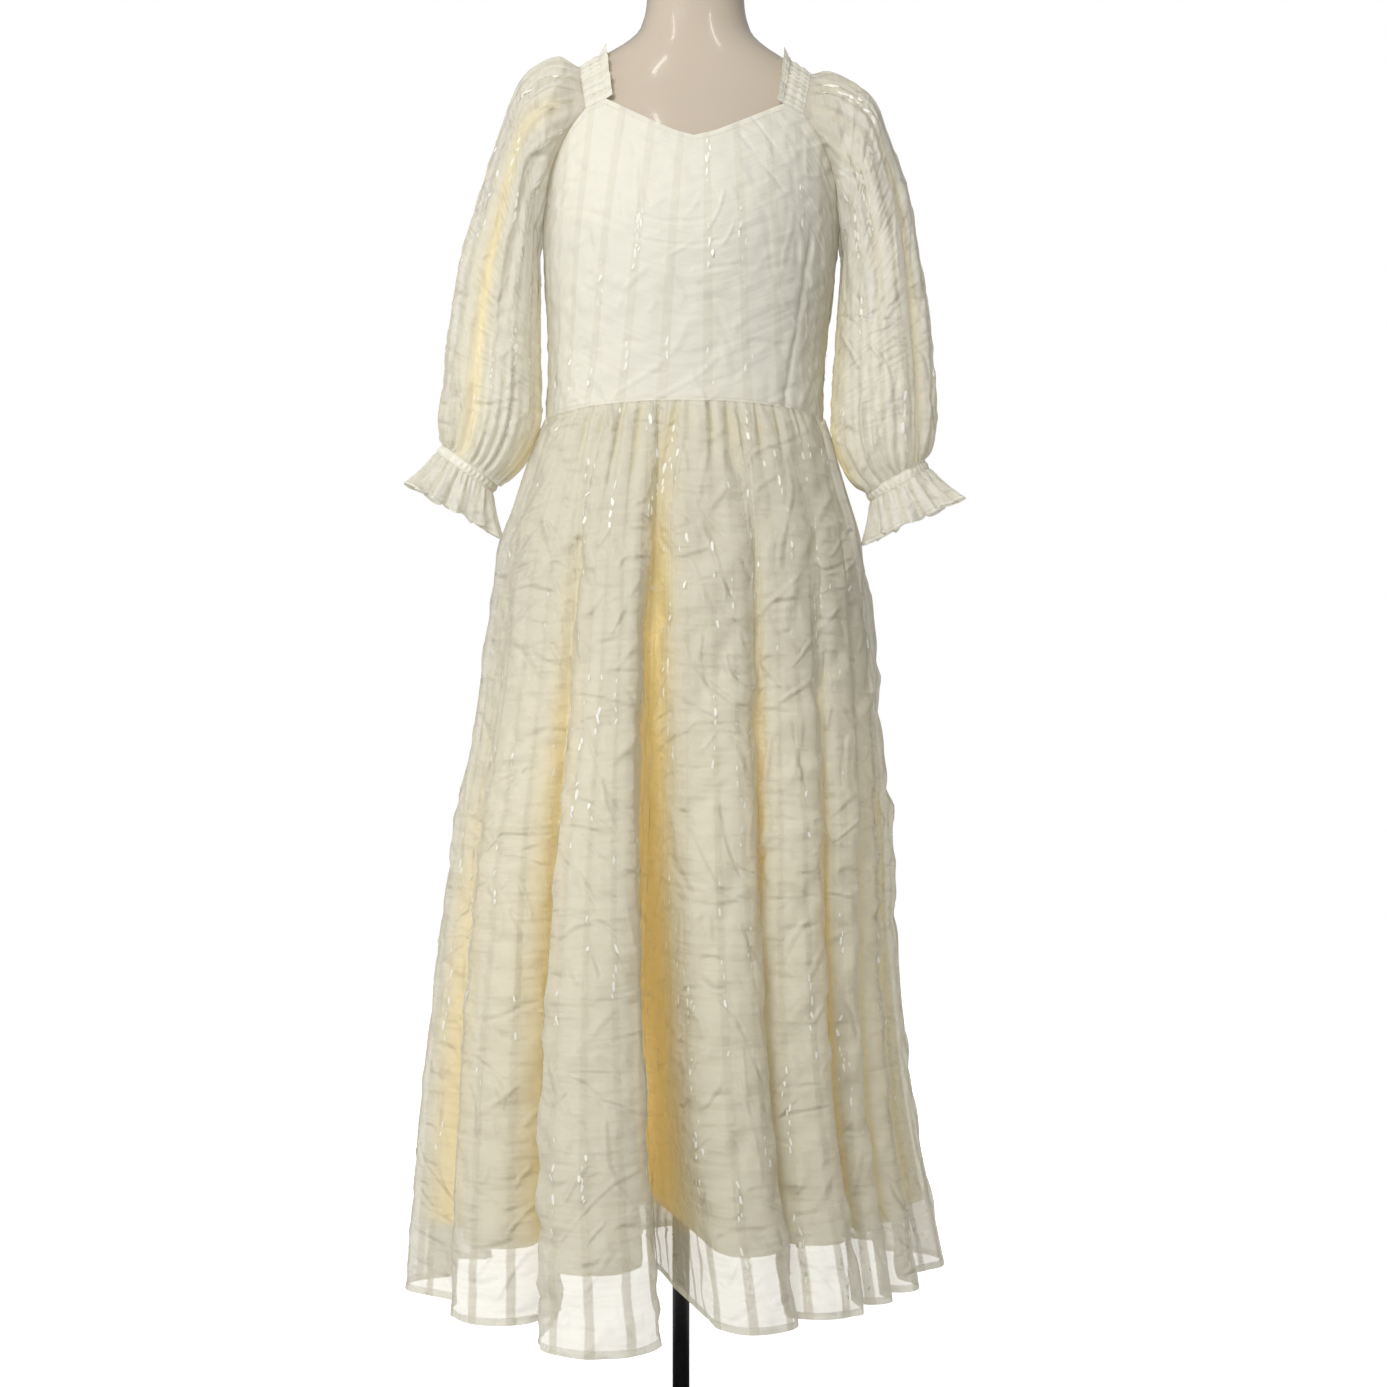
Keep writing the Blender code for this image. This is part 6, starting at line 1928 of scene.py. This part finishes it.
class DRESS_OT_flecks(bpy.types.Operator):
    """Sparse metallic flecks in short runs along the woven stripes"""
    bl_idname = "dress.flecks"
    bl_label = "Metallic flecks"

    def execute(self, context):
        finish = fleck_material()
        groups = {"bodice_flecks": [], "sleeve_flecks": [], "skirt_flecks": []}
        for seed, (_, points, across) in enumerate(bodice_panels()):
            up = points[:, :, 2].mean(axis=1)
            groups["bodice_flecks"].append(fleck_places(points, across, up, BODICE_INSIDE, False, 60 + seed))
        for side in SIDES:
            points, across, above, _ = sleeve_grid(side)
            inside = points.reshape(-1, 3).mean(axis=0)
            groups["sleeve_flecks"].append(fleck_places(points, across, above, inside, True, 70 + side.seed))
        points, across, above_hem = finished_skirt()
        groups["skirt_flecks"].append(fleck_places(points, across, above_hem, SKIRT_INSIDE, True, 80))
        for name, found in groups.items():
            places, frames, sizes = [np.concatenate(parts) for parts in zip(*found)]
            piece = scattered(name, BEAD, BEAD_FACES, places, frames, sizes, finish)
            piece.data.shade_flat()
        return {"FINISHED"}


def pale_floor(stage):
    """Round level floor, nearly white where the camera sees it."""
    turns = np.linspace(0.0, 2 * math.pi, FLOOR_CORNERS, endpoint=False)
    points = np.stack([np.cos(turns), np.sin(turns), np.zeros(FLOOR_CORNERS)], axis=-1) * FLOOR_RADIUS
    finish = hard_material("pale floor", stage.floor)
    tree = finish.node_tree
    glow = tree.nodes["Principled BSDF"].inputs
    glow["Emission Color"].default_value = (1.0, 1.0, 1.0, 1.0)
    seen = node(tree, "ShaderNodeLightPath").outputs["Is Camera Ray"]
    tree.links.new(maths(tree, "MULTIPLY_ADD", seen, FLOOR_SEEN_GLOW, stage.floor_glow),
                   glow["Emission Strength"])
    mesh = bpy.data.meshes.new("pale_floor")
    mesh.from_pydata(points.tolist(), [], [list(range(FLOOR_CORNERS))])
    mesh.materials.append(finish)
    linked("pale_floor", mesh)


def area_light(lamp, stage):
    """Soft light of the table; only the strips are mirrored in the glossy form."""
    strip = lamp.setting == "strip_glow"
    light = bpy.data.lights.new(lamp.name, "AREA")
    light.shape = "RECTANGLE"
    light.size, light.size_y = lamp.size
    light.spread = math.radians(lamp.spread)
    light.energy = getattr(stage, lamp.setting) * (lamp.size[0] * lamp.size[1] if strip else 1.0)
    made = linked(lamp.name, light)
    made.location = lamp.place
    facing = (Vector(lamp.place) - Vector(lamp.aim)).to_track_quat("Z", "Y")
    twist = Quaternion((0.0, 0.0, 1.0), math.radians(lamp.twist))
    made.rotation_euler = (facing @ twist).to_euler()
    made.visible_glossy = strip
    made.visible_camera = False


def inner_light(height, power):
    """Small lamp inside the skirt, for the light that real cloth lets through."""
    light = bpy.data.lights.new("inner", "POINT")
    light.energy = power
    light.shadow_soft_size = 0.04
    linked("inner", light).location = (0.0, 0.06, height)


def soft_sky(strength_all_round):
    """White world: full white behind everything, and softer as a light."""
    world = bpy.data.worlds.new("soft sky")
    world.use_nodes = True
    tree = world.node_tree
    background = tree.nodes["Background"].inputs
    background["Color"].default_value = (1.0, 1.0, 1.0, 1.0)
    seen = node(tree, "ShaderNodeLightPath").outputs["Is Camera Ray"]
    tree.links.new(maths(tree, "MULTIPLY_ADD", seen, 1.0 - strength_all_round, strength_all_round),
                   background["Strength"])
    return world


class DRESS_OT_stage(bpy.types.Operator):
    """Pale floor, soft lights and the camera at the photograph's place"""
    bl_idname = "dress.stage"
    bl_label = "Stage"

    def execute(self, context):
        stage = context.scene.dress_stage
        pale_floor(stage)
        for lamp in LAMPS:
            area_light(lamp, stage)
        for height in INNER_LAMPS:
            inner_light(height, stage.inner_power)
        context.scene.world = soft_sky(stage.sky)
        context.scene.view_settings.view_transform = "Standard"
        lens = bpy.data.cameras.new("camera")
        lens.lens = stage.lens
        lens.sensor_width = 36.0
        camera = linked("camera", lens)
        camera.location = (CAMERA_X, -stage.camera_distance, stage.camera_height)
        camera.rotation_euler = (math.pi / 2, 0.0, 0.0)
        context.scene.camera = camera
        return {"FINISHED"}


class DRESS_PT_panel(bpy.types.Panel):
    """Sizes, colours and one button for each group of pieces"""
    bl_idname = "DRESS_PT_panel"
    bl_label = "Organza dress"
    bl_space_type = "VIEW_3D"
    bl_region_type = "UI"
    bl_category = "Dress"

    def draw(self, context):
        for settings in (context.scene.dress_sizes, context.scene.dress_colours, context.scene.dress_stage):
            column = self.layout.column()
            for name in settings.__annotations__:
                column.prop(settings, name)
        for operator in OPERATORS:
            self.layout.operator(operator.bl_idname)


OPERATORS = (DRESS_OT_form, DRESS_OT_stand, DRESS_OT_bodice, DRESS_OT_shoulder_bands, DRESS_OT_sleeves,
             DRESS_OT_cuffs, DRESS_OT_skirt, DRESS_OT_lining, DRESS_OT_zip, DRESS_OT_stitching,
             DRESS_OT_flecks, DRESS_OT_stage)
GROUPS = (("dress_sizes", DressSizes), ("dress_colours", DressColours), ("dress_stage", StageSettings))


def register():
    """Add the classes and the scene's settings."""
    for name, group in GROUPS:
        bpy.utils.register_class(group)
        setattr(bpy.types.Scene, name, bpy.props.PointerProperty(type=group))
    for made in OPERATORS + (DRESS_PT_panel,):
        bpy.utils.register_class(made)


def unregister():
    """Take them away again."""
    for made in reversed(OPERATORS + (DRESS_PT_panel,)):
        bpy.utils.unregister_class(made)
    for name, group in reversed(GROUPS):
        delattr(bpy.types.Scene, name)
        bpy.utils.unregister_class(group)


def main():
    """Build every piece in order."""
    register()
    bpy.ops.dress.form()
    bpy.ops.dress.stand()
    bpy.ops.dress.bodice()
    bpy.ops.dress.shoulder_bands()
    bpy.ops.dress.sleeves()
    bpy.ops.dress.cuffs()
    bpy.ops.dress.skirt()
    bpy.ops.dress.lining()
    bpy.ops.dress.zip()
    bpy.ops.dress.stitching()
    bpy.ops.dress.flecks()
    bpy.ops.dress.stage()


if __name__ == "__main__":
    main()
